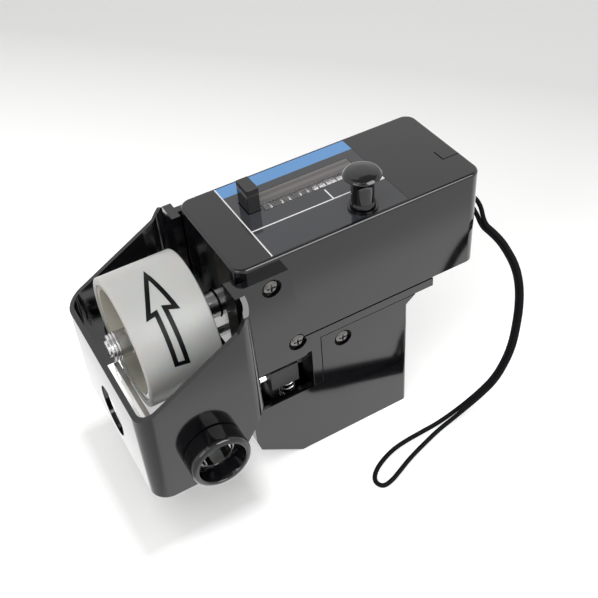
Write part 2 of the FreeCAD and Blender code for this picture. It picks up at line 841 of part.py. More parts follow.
def housing_cover():
    """The deep cover over the counter, with its label recess, window and side recesses."""
    front = behind(as_size(0))
    rear = behind(d.housing_length)
    shell = rounded_block((front, rear), HALF, (SEAM + d.seam_height, TOP),
                          d.housing_corner_radius, d.housing_edge_radius)
    lip = rounded_block((front + d.seam_depth, rear - d.seam_depth), HALF - d.seam_depth,
                        (SEAM, SEAM + d.seam_height), d.housing_corner_radius - d.seam_depth)
    inside_half = HALF - d.housing_wall
    roof = TOP - d.housing_wall
    cavity = block((front + d.housing_wall, rear - d.housing_wall),
                   (-inside_half, inside_half), (SEAM - OVER, roof))
    strap_side = d.strap_side
    boss_half = d.strap_recess_width / 2 + d.strap_boss_wall
    boss_low = below(d.strap_drop + d.strap_recess_height / 2 + d.strap_boss_wall)
    boss_high = below(d.strap_drop - d.strap_recess_height / 2 - d.strap_boss_wall)
    boss_depth = d.strap_recess_depth + d.strap_boss_wall
    boss = block((rear - boss_depth, rear - d.housing_wall / 2),
                 (strap_side - boss_half, strap_side + boss_half), (boss_low, boss_high))
    recess = block((rear - d.strap_recess_depth, rear + OVER),
                   (strap_side - d.strap_recess_width / 2, strap_side + d.strap_recess_width / 2),
                   (boss_low + d.strap_boss_wall, boss_high - d.strap_boss_wall))
    pin_x = rear - d.strap_recess_depth / 2
    pin_hole = rod("Z", boss_low + d.strap_boss_wall / 3, boss_high - d.strap_boss_wall / 3,
                   (pin_x, strap_side), d.strap_pin_diameter)
    label_recess = block(
        (behind(d.label_setback), behind(d.label_setback + d.label_length)),
        (-LABEL_HALF, LABEL_HALF), (TOP - d.label_thickness, TOP + OVER))
    ledge = d.window_ledge
    window_hole = block(
        (behind(d.window_setback + ledge), behind(d.window_setback + d.window_length - ledge)),
        (d.counter_axis_side - d.window_width / 2 + ledge,
         d.counter_axis_side + d.window_width / 2 - ledge),
        (roof - OVER, TOP + OVER))
    knob_hole = rod("Z", roof - OVER, TOP + OVER, KNOB_XY, d.plunger_diameter + d.fit_gap * 2)
    shaft_hole = rod("X", front - OVER, front + d.housing_wall + OVER, WHEEL_AXIS,
                     d.collar_diameter + d.fit_gap * 4)
    mark_x = behind(d.mark_setback)
    mark_floor = TOP - d.mark_depth
    mark_side = block((mark_x, mark_x + d.mark_width),
                      (d.mark_side, d.mark_side + d.mark_leg), (mark_floor, TOP + OVER))
    mark_front = block((mark_x, mark_x + d.mark_leg * 1.2),
                       (d.mark_side, d.mark_side + d.mark_width), (mark_floor, TOP + OVER))
    hollow = cut(join(shell, lip), cavity)
    cover = cut(join(hollow, boss), recess, pin_hole, label_recess, window_hole,
                button_hole(roof - OVER, TOP + OVER), knob_hole, shaft_hole,
                mark_side, mark_front, *screw_holes(SCREW_PLACES, EAR_FACE))
    return keep(cover, "housing_cover")


def button_hole(low, high):
    """The clearance for the reset button, as a cutter."""
    half_length = d.button_length / 2 + d.fit_gap
    half_width = d.button_width / 2 + d.fit_gap
    centre = behind(d.button_setback)
    return block((centre - half_length, centre + half_length),
                 (d.button_side - half_width, d.button_side + half_width), (low, high))


def label_plate():
    """The printed plate that lies flush in the housing's top."""
    low = TOP - d.label_thickness
    plate = block(
        (behind(d.label_setback) + d.fit_gap / 2,
         behind(d.label_setback + d.label_length) - d.fit_gap / 2),
        (d.fit_gap / 2 - LABEL_HALF, LABEL_HALF - d.fit_gap / 2), (low, TOP))
    window = block(
        (behind(d.window_setback), behind(d.window_setback + d.window_length)),
        (d.counter_axis_side - d.window_width / 2, d.counter_axis_side + d.window_width / 2),
        (low - OVER, TOP + OVER))
    knob_hole = rod("Z", low - OVER, TOP + OVER, KNOB_XY, d.plunger_diameter + d.fit_gap * 2)
    return keep(cut(plate, window, button_hole(low - OVER, TOP + OVER), knob_hole), "label_plate")


def counter_window():
    """The clear pane over the number drums, seated on a ledge in the roof."""
    play = d.running_gap * 2
    pane = block(
        (behind(d.window_setback) + play, behind(d.window_setback + d.window_length) - play),
        (d.counter_axis_side - d.window_width / 2 + play,
         d.counter_axis_side + d.window_width / 2 - play),
        (TOP - d.label_thickness, TOP - play))
    return keep(pane, "counter_window")


def chassis_plate():
    """The steel plate that closes the cover and carries the counter and the bearings."""
    inset = d.housing_wall + d.fit_gap
    plate = block((behind(inset), behind(d.housing_length - inset)),
                  (inset - HALF, HALF - inset), (SEAM, CHASSIS_TOP))
    plunger_hole = rod("Z", SEAM - OVER, CHASSIS_TOP + OVER, KNOB_XY,
                       d.plunger_diameter + d.fit_gap * 4)
    return keep(cut(plate, plunger_hole), "chassis_plate")


def strap_pin():
    """The steel pin across the rear recess that the wrist cord goes round."""
    low = below(d.strap_drop + d.strap_recess_height / 2 + d.strap_boss_wall * 2 / 3)
    high = below(d.strap_drop - d.strap_recess_height / 2 - d.strap_boss_wall * 2 / 3)
    pin_x = behind(d.housing_length - d.strap_recess_depth / 2)
    return keep(rod("Z", low, high, (pin_x, d.strap_side), d.strap_pin_diameter), "strap_pin")


# Saddle, grip and foot

GRIP_SCREW = (behind(d.grip_screw_setback), below(d.grip_screw_drop))


def rocker_slot(low, high):
    """The slot that the rocker and the carriage's lug swing in."""
    return block((low, high), (ROCKER_LOW - d.fit_gap * 4, LUG_LOW + d.lug_thickness * 1.2),
                 (BAY_FLOOR - OVER, ROLLER_Z + d.rocker_slot_rise))


def frame_saddle():
    """Flange, mechanism block and front leg in one moulding, with two screw tongues."""
    front = behind(d.saddle_setback)
    flange = block((front, behind(d.saddle_setback + d.saddle_length)), (-HALF, HALF),
                   (FLANGE_LOW, SEAM))
    head = block((front, LEG_REAR), (-HALF, HALF), (below(d.block_drop), FLANGE_LOW))
    leg = block((BAY_REAR, LEG_REAR), (-HALF, HALF), (BAY_FLOOR + d.joint_line, FLANGE_LOW))
    tongue = block((behind(d.tongue_setback), behind(d.tongue_setback + d.tongue_length)),
                   (d.running_gap - INNER_HALF, d.tongue_thickness - INNER_HALF),
                   (FLANGE_LOW - d.tongue_height, FLANGE_LOW))
    post_holes = [rod("Z", below(d.block_drop) - OVER, below(d.block_drop) + d.post_depth,
                      (behind(d.post_setback), side), d.post_diameter)
                  for side in AXLE_SIDES]
    plunger_guide = rod("Z", FLANGE_LOW - OVER, SEAM + OVER, KNOB_XY,
                        d.plunger_diameter + d.running_gap * 2)
    saddle = cut(join(flange, head, leg, tongue, mirrored(tongue)),
                 rocker_slot(BAY_REAR - OVER, LEG_REAR + OVER), *post_holes, plunger_guide,
                 *screw_holes([GRIP_SCREW], HALF))
    return keep(saddle, "frame_saddle")


def grip_body():
    """The hollow grip with its foot, open at the top under the saddle."""
    nose = ahead(d.foot_front_reach)
    ground = as_size(0)
    start = LEG_REAR + d.joint_line
    outer = slab([
        (start, GRIP_TOP),
        (GRIP_REAR + d.gusset_reach, GRIP_TOP),
        (GRIP_REAR, GRIP_TOP - d.gusset_drop),
        (GRIP_REAR, ground),
        (behind(d.foot_flat_setback), ground),
        (behind(d.foot_toe_setback), below(d.foot_toe_drop)),
        (nose, below(d.foot_nose_drop)),
        (nose, BAY_FLOOR),
        (start, BAY_FLOOR),
    ], -HALF, HALF)
    round_edges(outer, d.grip_edge_radius, is_rear_upright)
    wall = d.grip_wall
    inner = slab([
        (start + wall, GRIP_TOP + OVER),
        (GRIP_REAR - wall, GRIP_TOP + OVER),
        (GRIP_REAR - wall, ground + wall),
        (behind(d.foot_flat_setback) + wall / 3, ground + wall),
        (behind(d.foot_toe_setback) + wall, below(d.foot_toe_drop) + wall * 0.6),
        (nose + wall, below(d.foot_nose_drop)),
        (nose + wall, BAY_FLOOR + OVER),
        (start + wall, BAY_FLOOR + OVER),
    ], -INNER_HALF, INNER_HALF)
    shelf = block((behind(d.post_setback) - d.post_diameter * 1.6,
                   behind(d.post_setback) + d.post_diameter * 1.6),
                  (-INNER_HALF - wall / 2, INNER_HALF + wall / 2),
                  (below(d.shelf_drop + d.shelf_thickness), below(d.shelf_drop)))
    boss = rod("Y", -INNER_HALF - wall / 2, ROCKER_LOW - d.fit_gap, (PIVOT_X, PIVOT_Z),
               d.boss_diameter)
    pivot_hole = rod("Y", -INNER_HALF, ROCKER_LOW, (PIVOT_X, PIVOT_Z), d.pivot_diameter)
    post_holes = [rod("Z", below(d.shelf_drop + d.shelf_thickness) - OVER,
                      below(d.shelf_drop) + OVER,
                      (behind(d.post_setback), side), d.post_diameter)
                  for side in AXLE_SIDES]
    axle_slots = [block((nose - OVER, nose + wall + OVER),
                        (side - d.roller_axle_diameter * 0.65,
                         side + d.roller_axle_diameter * 0.65),
                        (ROLLER_Z - d.knob_travel - d.roller_axle_diameter * 0.65,
                         BAY_FLOOR + OVER))
                  for side in AXLE_SIDES]
    body = cut(join(cut(outer, inner), shelf, boss), pivot_hole, *post_holes, *axle_slots,
               rocker_slot(start - OVER, start + wall + OVER),
               *screw_holes([GRIP_SCREW], HALF), *screw_sinks([GRIP_SCREW], HALF))
    return keep(body, "grip_body")


def is_rear_upright(edge):
    """True for the grip's two long upright edges at the rear."""
    return is_upright(edge) and abs(edge.BoundBox.XMin - float(GRIP_REAR)) < 1e-3


# Measuring wheel and its shaft

def wheel_tyre():
    """The translucent tyre that the cable turns."""
    radius = d.wheel_diameter / 2
    soft = d.tyre_thickness * 0.22
    ring = turned("X", WHEEL_MIDDLE - d.wheel_width / 2, WHEEL_AXIS, [
        (0, radius - d.tyre_thickness),
        (0, radius - soft),
        (soft * 0.3, radius - soft * 0.3),
        (soft, radius),
        (d.wheel_width - soft, radius),
        (d.wheel_width - soft * 0.3, radius - soft * 0.3),
        (d.wheel_width, radius - soft),
        (d.wheel_width, radius - d.tyre_thickness),
    ])
    return keep(ring, "wheel_tyre")


def wheel_disc():
    """The moulded wheel inside the tyre: ring, web with round openings, and boss."""
    outer = d.wheel_diameter / 2 - d.tyre_thickness
    inner = outer - d.wheel_ring_thickness
    boss = d.wheel_boss_diameter / 2
    bore = d.wheel_shaft_diameter / 2
    half_ring = d.wheel_width / 2 - 0.8
    half_web = d.wheel_web_thickness / 2
    half_boss = d.wheel_boss_length / 2
    disc = turned("X", WHEEL_MIDDLE, WHEEL_AXIS, [
        (-half_boss, bore),
        (-half_boss, boss),
        (-half_web, boss),
        (-half_web, inner),
        (-half_ring, inner),
        (-half_ring, outer),
        (half_ring, outer),
        (half_ring, inner),
        (half_web, inner),
        (half_web, boss),
        (half_boss, boss),
        (half_boss, bore),
    ])
    openings = []
    count = int(round(float(d.wheel_openings)))
    for index in range(count):
        angle = 2 * math.pi * index / count
        centre = (WHEEL_AXIS[0] + d.wheel_opening_circle * math.cos(angle),
                  WHEEL_AXIS[1] + d.wheel_opening_circle * math.sin(angle))
        openings.append(rod("X", WHEEL_MIDDLE - half_web - OVER, WHEEL_MIDDLE + half_web + OVER,
                            centre, d.wheel_opening_radius * 2))
    return keep(cut(disc, *openings), "wheel_disc")


def wheel_shaft():
    """The steel shaft, chamfered at both ends."""
    radius = d.wheel_shaft_diameter / 2
    length = d.wheel_shaft_reach + d.wheel_shaft_setback
    shaft = turned("X", ahead(d.wheel_shaft_reach), WHEEL_AXIS, [
        (0, 0),
        (0, radius * 0.86),
        (radius * 0.14, radius),
        (length - radius * 0.14, radius),
        (length, radius * 0.86),
        (length, 0),
    ])
    return keep(shaft, "wheel_shaft")


BOSS_FRONT = WHEEL_MIDDLE - d.wheel_boss_length / 2
BOSS_REAR = WHEEL_MIDDLE + d.wheel_boss_length / 2


def shaft_collars():
    """Steel collars on each side of the boss, each with a clip beyond it."""
    front = washer("X", BOSS_FRONT - d.collar_length, BOSS_FRONT, WHEEL_AXIS,
                   d.collar_diameter, d.wheel_shaft_diameter)
    rear = washer("X", BOSS_REAR, ahead(d.fit_gap * 2), WHEEL_AXIS,
                  d.collar_diameter, d.wheel_shaft_diameter)
    grooved = []
    for ring, start in ((front, BOSS_FRONT - d.collar_length), (rear, BOSS_REAR)):
        groove = washer("X", start + d.collar_length * 0.5, start + d.collar_length * 0.6,
                        WHEEL_AXIS, d.collar_diameter + OVER, d.collar_diameter * 0.9)
        grooved.append(cut(ring, groove))
    return keep(group(*grooved), "shaft_collars")


def shaft_clips():
    """The rings that hold the wheel on the front of the shaft, each smaller than the last."""
    rings = []
    pitch = d.clip_thickness + d.clip_gap
    for step in range(3):
        high = BOSS_FRONT - d.collar_length - pitch * step
        rings.append(washer("X", high - d.clip_thickness, high, WHEEL_AXIS,
                            d.clip_diameter - d.clip_gap * step, d.wheel_shaft_diameter))
    return keep(group(*rings), "shaft_clips")


# Gears

def involute(angle):
    return math.tan(angle) - angle


def gear_points(teeth, module, backlash, first_tooth):
    """Corners of a spur gear: each flank follows the involute of its base circle."""
    pitch = module * teeth / 2
    base = pitch * math.cos(PRESSURE_ANGLE)
    tip = pitch + 0.9 * module
    bottom = pitch - 1.25 * module
    half = math.pi / (2 * teeth) - backlash / (2 * pitch)
    radii = [bottom] + [max(base, bottom) + (tip - max(base, bottom)) * step / 4
                        for step in range(5)]
    flank = []
    for radius in radii:
        reach = math.acos(min(1.0, base / radius)) if radius > base else 0.0
        flank.append((radius, half + involute(PRESSURE_ANGLE) - involute(reach)))
    points = []
    for tooth in range(teeth):
        middle = first_tooth + 2 * math.pi * tooth / teeth
        points += [(radius, middle - lean) for radius, lean in flank]
        points += [(radius, middle + lean) for radius, lean in reversed(flank)]
    return [(radius * math.cos(angle), radius * math.sin(angle)) for radius, angle in points]


def gear(low, centre, teeth, first_tooth, bore, node):
    """A spur gear along X with a bore, its teeth placed by the angle of its first tooth."""
    corners = [FreeCAD.Vector(0, across, up) for across, up in
               gear_points(teeth, float(d.gear_module), float(d.gear_backlash), first_tooth)]
    wire = Part.makePolygon(corners + corners[:1])
    solid = Part.Face(wire).extrude(FreeCAD.Vector(float(d.gear_width), 0, 0))
    margin = 1.0
    hole = Part.makeCylinder(float(bore) / 2, float(d.gear_width) + 2 * margin,
                             FreeCAD.Vector(-margin, 0, 0), FreeCAD.Vector(1, 0, 0))
    feature = document.addObject("Part::Feature", "gear")
    feature.Shape = solid.cut(hole)
    place(feature, low, centre[0], centre[1])
    return keep(feature, node)


def direction(start, end):
    """Angle from one axis to another in the Y-Z plane."""
    return math.atan2(float(end[1]) - float(start[1]), float(end[0]) - float(start[0]))


def gear_train():
    """Wheel gear to lay shaft to counter pinion: the counter turns twice per wheel turn."""
    to_lay = direction(WHEEL_AXIS, LAY_AXIS)
    to_counter = direction(LAY_AXIS, COUNTER_AXIS)
    half_turn = math.pi
    gear(behind(d.wheel_gear_setback), WHEEL_AXIS, WHEEL_TEETH, to_lay,
         d.wheel_shaft_diameter, "wheel_gear")
    gear(behind(d.wheel_gear_setback), LAY_AXIS, LAY_IN_TEETH,
         to_lay + half_turn + half_turn / LAY_IN_TEETH, d.lay_shaft_diameter, "lay_gear_front")
    gear(behind(d.counter_gear_setback), LAY_AXIS, LAY_OUT_TEETH, to_counter,
         d.lay_shaft_diameter, "lay_gear_rear")
    gear(behind(d.counter_gear_setback), COUNTER_AXIS, COUNTER_TEETH,
         to_counter + half_turn + half_turn / COUNTER_TEETH,
         d.counter_shaft_diameter + d.running_gap * 2, "counter_pinion")
    shaft = rod("X", behind(d.bracket_setback), behind(d.frame_rear_setback) + d.frame_plate,
                LAY_AXIS, d.lay_shaft_diameter)
    return keep(shaft, "lay_shaft")


def bearing_bracket():
    """Two uprights on a thin foot that carry the wheel shaft and the lay shaft."""
    low = behind(d.bracket_setback)
    high = behind(d.bracket_setback + d.bracket_span)
    half = d.bearing_diameter / 2 + d.housing_wall
    outer_side = LAY_AXIS[0] + d.lay_shaft_diameter * 2
    upper = LAY_AXIS[1] + d.lay_shaft_diameter * 2
    foot = block((low, high), (-half, outer_side), (CHASSIS_TOP, CHASSIS_TOP + d.bracket_foot))
    front = block((low, low + d.bearing_width), (-half, outer_side), (CHASSIS_TOP, upper))
    rear = block((high - d.bearing_width, high), (-half, outer_side), (CHASSIS_TOP, upper))
    seats = rod("X", low - OVER, high + OVER, WHEEL_AXIS, d.bearing_diameter)
    lay_bore = rod("X", low - OVER, high + OVER, LAY_AXIS,
                   d.lay_shaft_diameter + d.running_gap * 2)
    return keep(cut(join(foot, front, rear), seats, lay_bore), "bearing_bracket")


def shaft_bearings():
    """The two bearings of the wheel shaft."""
    low = behind(d.bracket_setback)
    high = behind(d.bracket_setback + d.bracket_span)
    bore = d.wheel_shaft_diameter + d.running_gap * 2
    rings = [washer("X", start, start + d.bearing_width, WHEEL_AXIS, d.bearing_diameter, bore)
             for start in (low, high - d.bearing_width)]
    return keep(group(*rings), "shaft_bearings")


# Counter

TRANSFER_TIP = d.gear_module * (TRANSFER_TEETH / 2 + 0.9)
TRANSFER_REACH = d.drum_diameter / 2 + d.fit_gap + TRANSFER_TIP
TRANSFER_COS = math.cos(math.radians(DIMENSIONS["transfer_angle"]))
TRANSFER_SIN = math.sin(math.radians(DIMENSIONS["transfer_angle"]))
TRANSFER_AXIS = (COUNTER_AXIS[0] - TRANSFER_REACH * TRANSFER_COS,
                 COUNTER_AXIS[1] - TRANSFER_REACH * TRANSFER_SIN)
COMB_AXIS = (HALF - d.comb_inset, below(d.comb_drop))
FRAME_FRONT = behind(d.counter_setback) - d.frame_plate - d.fit_gap
FRAME_REAR = behind(d.frame_rear_setback)


def counter_frame():
    """The sheet frame of the counter: two end plates, a side plate and the reset tab."""
    across = (-d.frame_right_side, HALF - d.frame_left_inset)
    upright = (CHASSIS_TOP, below(d.frame_top_drop))
    front = block((FRAME_FRONT, FRAME_FRONT + d.frame_plate), across, upright)
    rear = block((FRAME_REAR, FRAME_REAR + d.frame_plate), across, upright)
    side = block((FRAME_FRONT, FRAME_REAR + d.frame_plate),
                 (-d.frame_right_side, d.frame_plate - d.frame_right_side), upright)
    stem = (behind(d.button_stem_setback), d.button_side)
    tab_reach = d.reset_coil_radius * 2
    tab = block((stem[0] - tab_reach, FRAME_FRONT + d.frame_plate),
                (stem[1] - tab_reach, stem[1] + tab_reach),
                (below(d.reset_tab_drop) - d.frame_plate, below(d.reset_tab_drop)))
    play = d.running_gap * 2
    button_half = d.button_width / 2 + d.button_flange * 1.4
    button_low = TOP - d.housing_wall - d.fit_gap * 2 - d.button_flange - d.button_travel
    button_notch = block((FRAME_FRONT - OVER, FRAME_FRONT + d.frame_plate + OVER),
                         (d.button_side - button_half, d.button_side + button_half),
                         (button_low, below(d.frame_top_drop) + OVER))
    span = (FRAME_FRONT - OVER, FRAME_REAR + d.frame_plate + OVER)
    holes = [
        rod("X", span[0], span[1], COUNTER_AXIS, d.counter_shaft_diameter),
        rod("X", span[0], span[1], TRANSFER_AXIS, d.transfer_shaft_diameter),
        rod("X", span[0], span[1], LAY_AXIS, d.lay_shaft_diameter + play),
        rod("X", span[0], span[1], COMB_AXIS, d.comb_shaft_diameter + play),
        rod("Z", below(d.reset_tab_drop) - d.frame_plate - OVER, below(d.reset_tab_drop) + OVER,
            stem, d.button_stem_diameter + play),
    ]
    return keep(cut(join(front, rear, side, tab), button_notch, *holes), "counter_frame")


def counter_shafts():
    """The fixed shafts of the drums and of the transfer pinions."""
    low = FRAME_FRONT
    high = FRAME_REAR + d.frame_plate
    keep(rod("X", low, high, COUNTER_AXIS, d.counter_shaft_diameter), "counter_shaft")
    keep(rod("X", low, high, TRANSFER_AXIS, d.transfer_shaft_diameter), "transfer_shaft")


def number_drums():
    """Five number drums on one shaft, the last one nearest the strap."""
    bore = d.counter_shaft_diameter / 2 + d.running_gap
    outer = d.drum_diameter / 2
    hub = d.drum_hub_diameter / 2
    inner = outer - d.drum_rim
    web = (DRUM_WIDTH - d.drum_web) / 2
    for index in range(DRUMS):
        low = behind(d.counter_setback) + d.drum_pitch * index + d.drum_gap / 2
        drum = turned("X", low, COUNTER_AXIS, [
            (0, bore),
            (0, hub),
            (web, hub),
            (web, inner),
            (0, inner),
            (0, outer),
            (DRUM_WIDTH, outer),
            (DRUM_WIDTH, inner),
            (web + d.drum_web, inner),
            (web + d.drum_web, hub),
            (DRUM_WIDTH, hub),
            (DRUM_WIDTH, bore),
        ])
        keep(drum, f"number_drum_{index + 1}")


def transfer_pinions():
    """The small pinions that carry from one drum to the next."""
    play = d.running_gap * 2
    for index in range(DRUMS - 1):
        middle = behind(d.counter_setback) + d.drum_pitch * (index + 1)
        points = gear_points(TRANSFER_TEETH, float(d.gear_module), float(d.gear_backlash), 0.0)
        corners = [FreeCAD.Vector(0, across, up) for across, up in points]
        wire = Part.makePolygon(corners + corners[:1])
        width = float(d.transfer_width)
        solid = Part.Face(wire).extrude(FreeCAD.Vector(width, 0, 0))
        bore = Part.makeCylinder(float(d.transfer_shaft_diameter + play) / 2, width + 2,
                                 FreeCAD.Vector(-1, 0, 0), FreeCAD.Vector(1, 0, 0))
        feature = document.addObject("Part::Feature", "pinion")
        feature.Shape = solid.cut(bore)
        place(feature, middle - d.transfer_width / 2, TRANSFER_AXIS[0], TRANSFER_AXIS[1])
        keep(feature, f"transfer_pinion_{index + 1}")


def reset_button():
    """The square push button with its inner flange and stem."""
    centre = behind(d.button_setback)
    half_length = d.button_length / 2
    half_width = d.button_width / 2
    under_roof = TOP - d.housing_wall - d.fit_gap
    head = block((centre - half_length, centre + half_length),
                 (d.button_side - half_width, d.button_side + half_width),
                 (under_roof - d.button_flange, TOP + d.button_height))
    flange = block((centre - half_length - 2, centre + half_length - d.fit_gap),
                   (d.button_side - half_width - d.button_flange,
                    d.button_side + half_width + d.button_flange),
                   (under_roof - d.button_flange, under_roof))
    stem = rod("Z", below(d.button_stem_drop), under_roof - d.button_flange / 2,
               (behind(d.button_stem_setback), d.button_side), d.button_stem_diameter)
    return keep(join(head, flange, stem), "reset_button")


def reset_comb():
    """The hinged comb that sets the drums back: shaft, bar with teeth, and push arm."""
    shaft = rod("X", behind(d.button_stem_setback) - d.button_stem_diameter / 2,
                FRAME_REAR + d.frame_plate + OVER, COMB_AXIS, d.comb_shaft_diameter)
    bar_low = behind(d.counter_setback)
    bar_high = bar_low + d.drum_pitch * DRUMS
    side = (COMB_AXIS[0] - d.comb_thickness / 2, COMB_AXIS[0] + d.comb_thickness / 2)
    pieces = [shaft, block((bar_low, bar_high), side,
                           (COMB_AXIS[1], COMB_AXIS[1] + d.comb_height * 0.6))]
    for index in range(DRUMS):
        middle = bar_low + d.drum_pitch * (index + 0.5)
        pieces.append(block((middle - d.drum_pitch / 6, middle + d.drum_pitch / 6), side,
                            (COMB_AXIS[1] + d.comb_height * 0.5, COMB_AXIS[1] + d.comb_height)))
    arm_x = (behind(d.button_stem_setback) - d.button_stem_diameter / 2,
             behind(d.button_stem_setback) + d.button_stem_diameter / 2)
    arm_top = below(d.button_stem_drop) - d.fit_gap
    pieces.append(block(arm_x, (d.button_side - d.button_stem_diameter / 2, COMB_AXIS[0]),
                        (arm_top - d.comb_thickness, arm_top)))
    pieces.append(block(arm_x, (COMB_AXIS[0] - d.comb_thickness, COMB_AXIS[0]),
                        (COMB_AXIS[1], arm_top)))
    return keep(join(*pieces), "reset_comb")


# A coil's end bends round this many wire thicknesses. Points nearer along the wire than
# GAP_LENGTHS wire thicknesses are neighbours, and aren't measured as a gap.
BEND_SHARE = 1.3
GAP_LENGTHS = 6


def end_bend(tip, heading, bend, wire, outward):
    """The bend from a coil's end to upright and the straight tail beyond it, in that order."""
    level = FreeCAD.Vector(heading.x, heading.y, 0).normalize() * outward
    upright = FreeCAD.Vector(0, 0, outward)
    slope = math.asin(heading.z)
    centre = tip + (upright * math.cos(slope) - level * math.sin(slope)) * bend
    half_swept = (math.pi / 2 - slope) / 2
    middle = centre + (level * math.cos(half_swept) - upright * math.sin(half_swept)) * bend
    last = centre + level * bend
    return middle, last, last + upright * wire


def coil(turns, radius, wire, low, high, centre):
    """A spring wire wound along Z: quarter-turn arcs of a helix, with both ends upright."""
    bend = BEND_SHARE * wire
    steps = int(round(turns * 4))
    first_z = low + wire + bend
    rise = (high - low - 2 * (wire + bend)) / steps

    def point(step):
        angle = math.pi / 2 * step
        return FreeCAD.Vector(centre[0] + radius * math.cos(angle),
                              centre[1] + radius * math.sin(angle), first_z + rise * step)

    arcs = [Part.Arc(point(step), point(step + 0.5), point(step + 1)).toShape()
            for step in range(steps)]
    first = arcs[0].tangentAt(arcs[0].FirstParameter)
    last = arcs[-1].tangentAt(arcs[-1].LastParameter)
    bottom = end_bend(point(0), first, bend, wire, -1)
    top = end_bend(point(steps), last, bend, wire, 1)
    foot = FreeCAD.Vector(bottom[1].x, bottom[1].y, low)
    head = FreeCAD.Vector(top[1].x, top[1].y, high)
    path = Part.Wire([
        Part.LineSegment(foot, bottom[1]).toShape(),
        Part.Arc(bottom[1], bottom[0], point(0)).toShape(),
        *arcs,
        Part.Arc(point(steps), top[0], top[1]).toShape(),
        Part.LineSegment(top[1], head).toShape(),
    ])
    section = Part.Circle(foot, FreeCAD.Vector(0, 0, 1), wire / 2)
    solid = path.makePipeShell([Part.Wire([section.toShape()])], True, False)
    print(f"spring of {turns:g} turns: least gap to itself {least_gap(path, wire):.2f} mm,"
          f" volume {solid.Volume:.1f} mm3,"
          f" section times length {math.pi * wire ** 2 / 4 * path.Length:.1f} mm3")
    return solid


def least_gap(path, wire):
    """Least clear distance of a wound wire to itself, measured on points along it."""
    step = wire / 2
    points = path.discretize(Number=int(path.Length / step))
    apart = int(GAP_LENGTHS * wire / step)
    nearest = min(first.distanceToPoint(second)
                  for index, first in enumerate(points)
                  for second in points[index + apart:])
    return nearest - wire


def reset_spring():
    """The small spring under the button's flange."""
    feature = document.addObject("Part::Feature", "spring")
    high = TOP - d.housing_wall - d.fit_gap - d.button_flange
    feature.Shape = coil(float(d.reset_turns), float(d.reset_coil_radius), float(d.reset_wire),
                         float(below(d.reset_tab_drop)), float(high),
                         (float(behind(d.button_stem_setback)), float(d.button_side)))
    return keep(feature, "reset_spring")


# Pull knob and press mechanism

def pull_knob():
    """The mushroom knob: a crowned cap on a waisted stem."""
    bottom = TOP + d.knob_collar_height + d.fit_gap
    height = d.knob_height - d.knob_collar_height - d.fit_gap
    cap = d.knob_cap_diameter / 2
    waist = d.knob_waist_diameter / 2
    foot = d.knob_foot_diameter / 2
    cap_low = height - d.knob_crown - d.knob_cap_edge
    bore = d.plunger_diameter / 2
    knob = turned("Z", bottom, KNOB_XY, [
        (0, bore),
        (0, foot),
        (height * 0.08, foot),
        (height * 0.2, waist + (foot - waist) * 0.45),
        (height * 0.36, waist),
        (cap_low - height * 0.16, waist),
        (cap_low - height * 0.05, waist + (cap - waist) * 0.22),
        (cap_low + d.knob_cap_edge * 0.1, cap * 0.9),
        (cap_low + d.knob_cap_edge * 0.5, cap),
        (cap_low + d.knob_cap_edge, cap * 0.97),
        (height - d.knob_crown * 0.55, cap * 0.82),
        (height - d.knob_crown * 0.2, cap * 0.55),
        (height - d.knob_crown * 0.04, cap * 0.25),
        (height, 0),
        (height * 0.75, 0),
        (height * 0.75, bore),
    ])
    return keep(knob, "pull_knob")


def knob_collar():
    """The ring round the knob's rod on the label."""
    low = TOP
    ring = washer("Z", low, low + d.knob_collar_height, KNOB_XY, d.knob_collar_diameter,
                  d.plunger_diameter + d.fit_gap * 2)
    return keep(ring, "knob_collar")


def plunger():
    """The rod under the knob, and the dowel that lifts the rocker."""
    bottom = TOP + d.knob_collar_height + d.fit_gap
    height = d.knob_height - d.knob_collar_height - d.fit_gap
    body = rod("Z", PLUNGER_PIN[1] - d.plunger_diameter, bottom + height * 0.75, KNOB_XY,
               d.plunger_diameter)
    dowel = rod("Y", KNOB_Y - d.plunger_diameter / 2, ROCKER_HIGH + d.fit_gap * 4,
                PLUNGER_PIN, d.dowel_diameter)
    keep(cut(body, dowel), "plunger_rod")
    keep(rod("Y", KNOB_Y - d.plunger_diameter / 2, ROCKER_HIGH + d.fit_gap * 4,
             PLUNGER_PIN, d.dowel_diameter), "plunger_dowel")


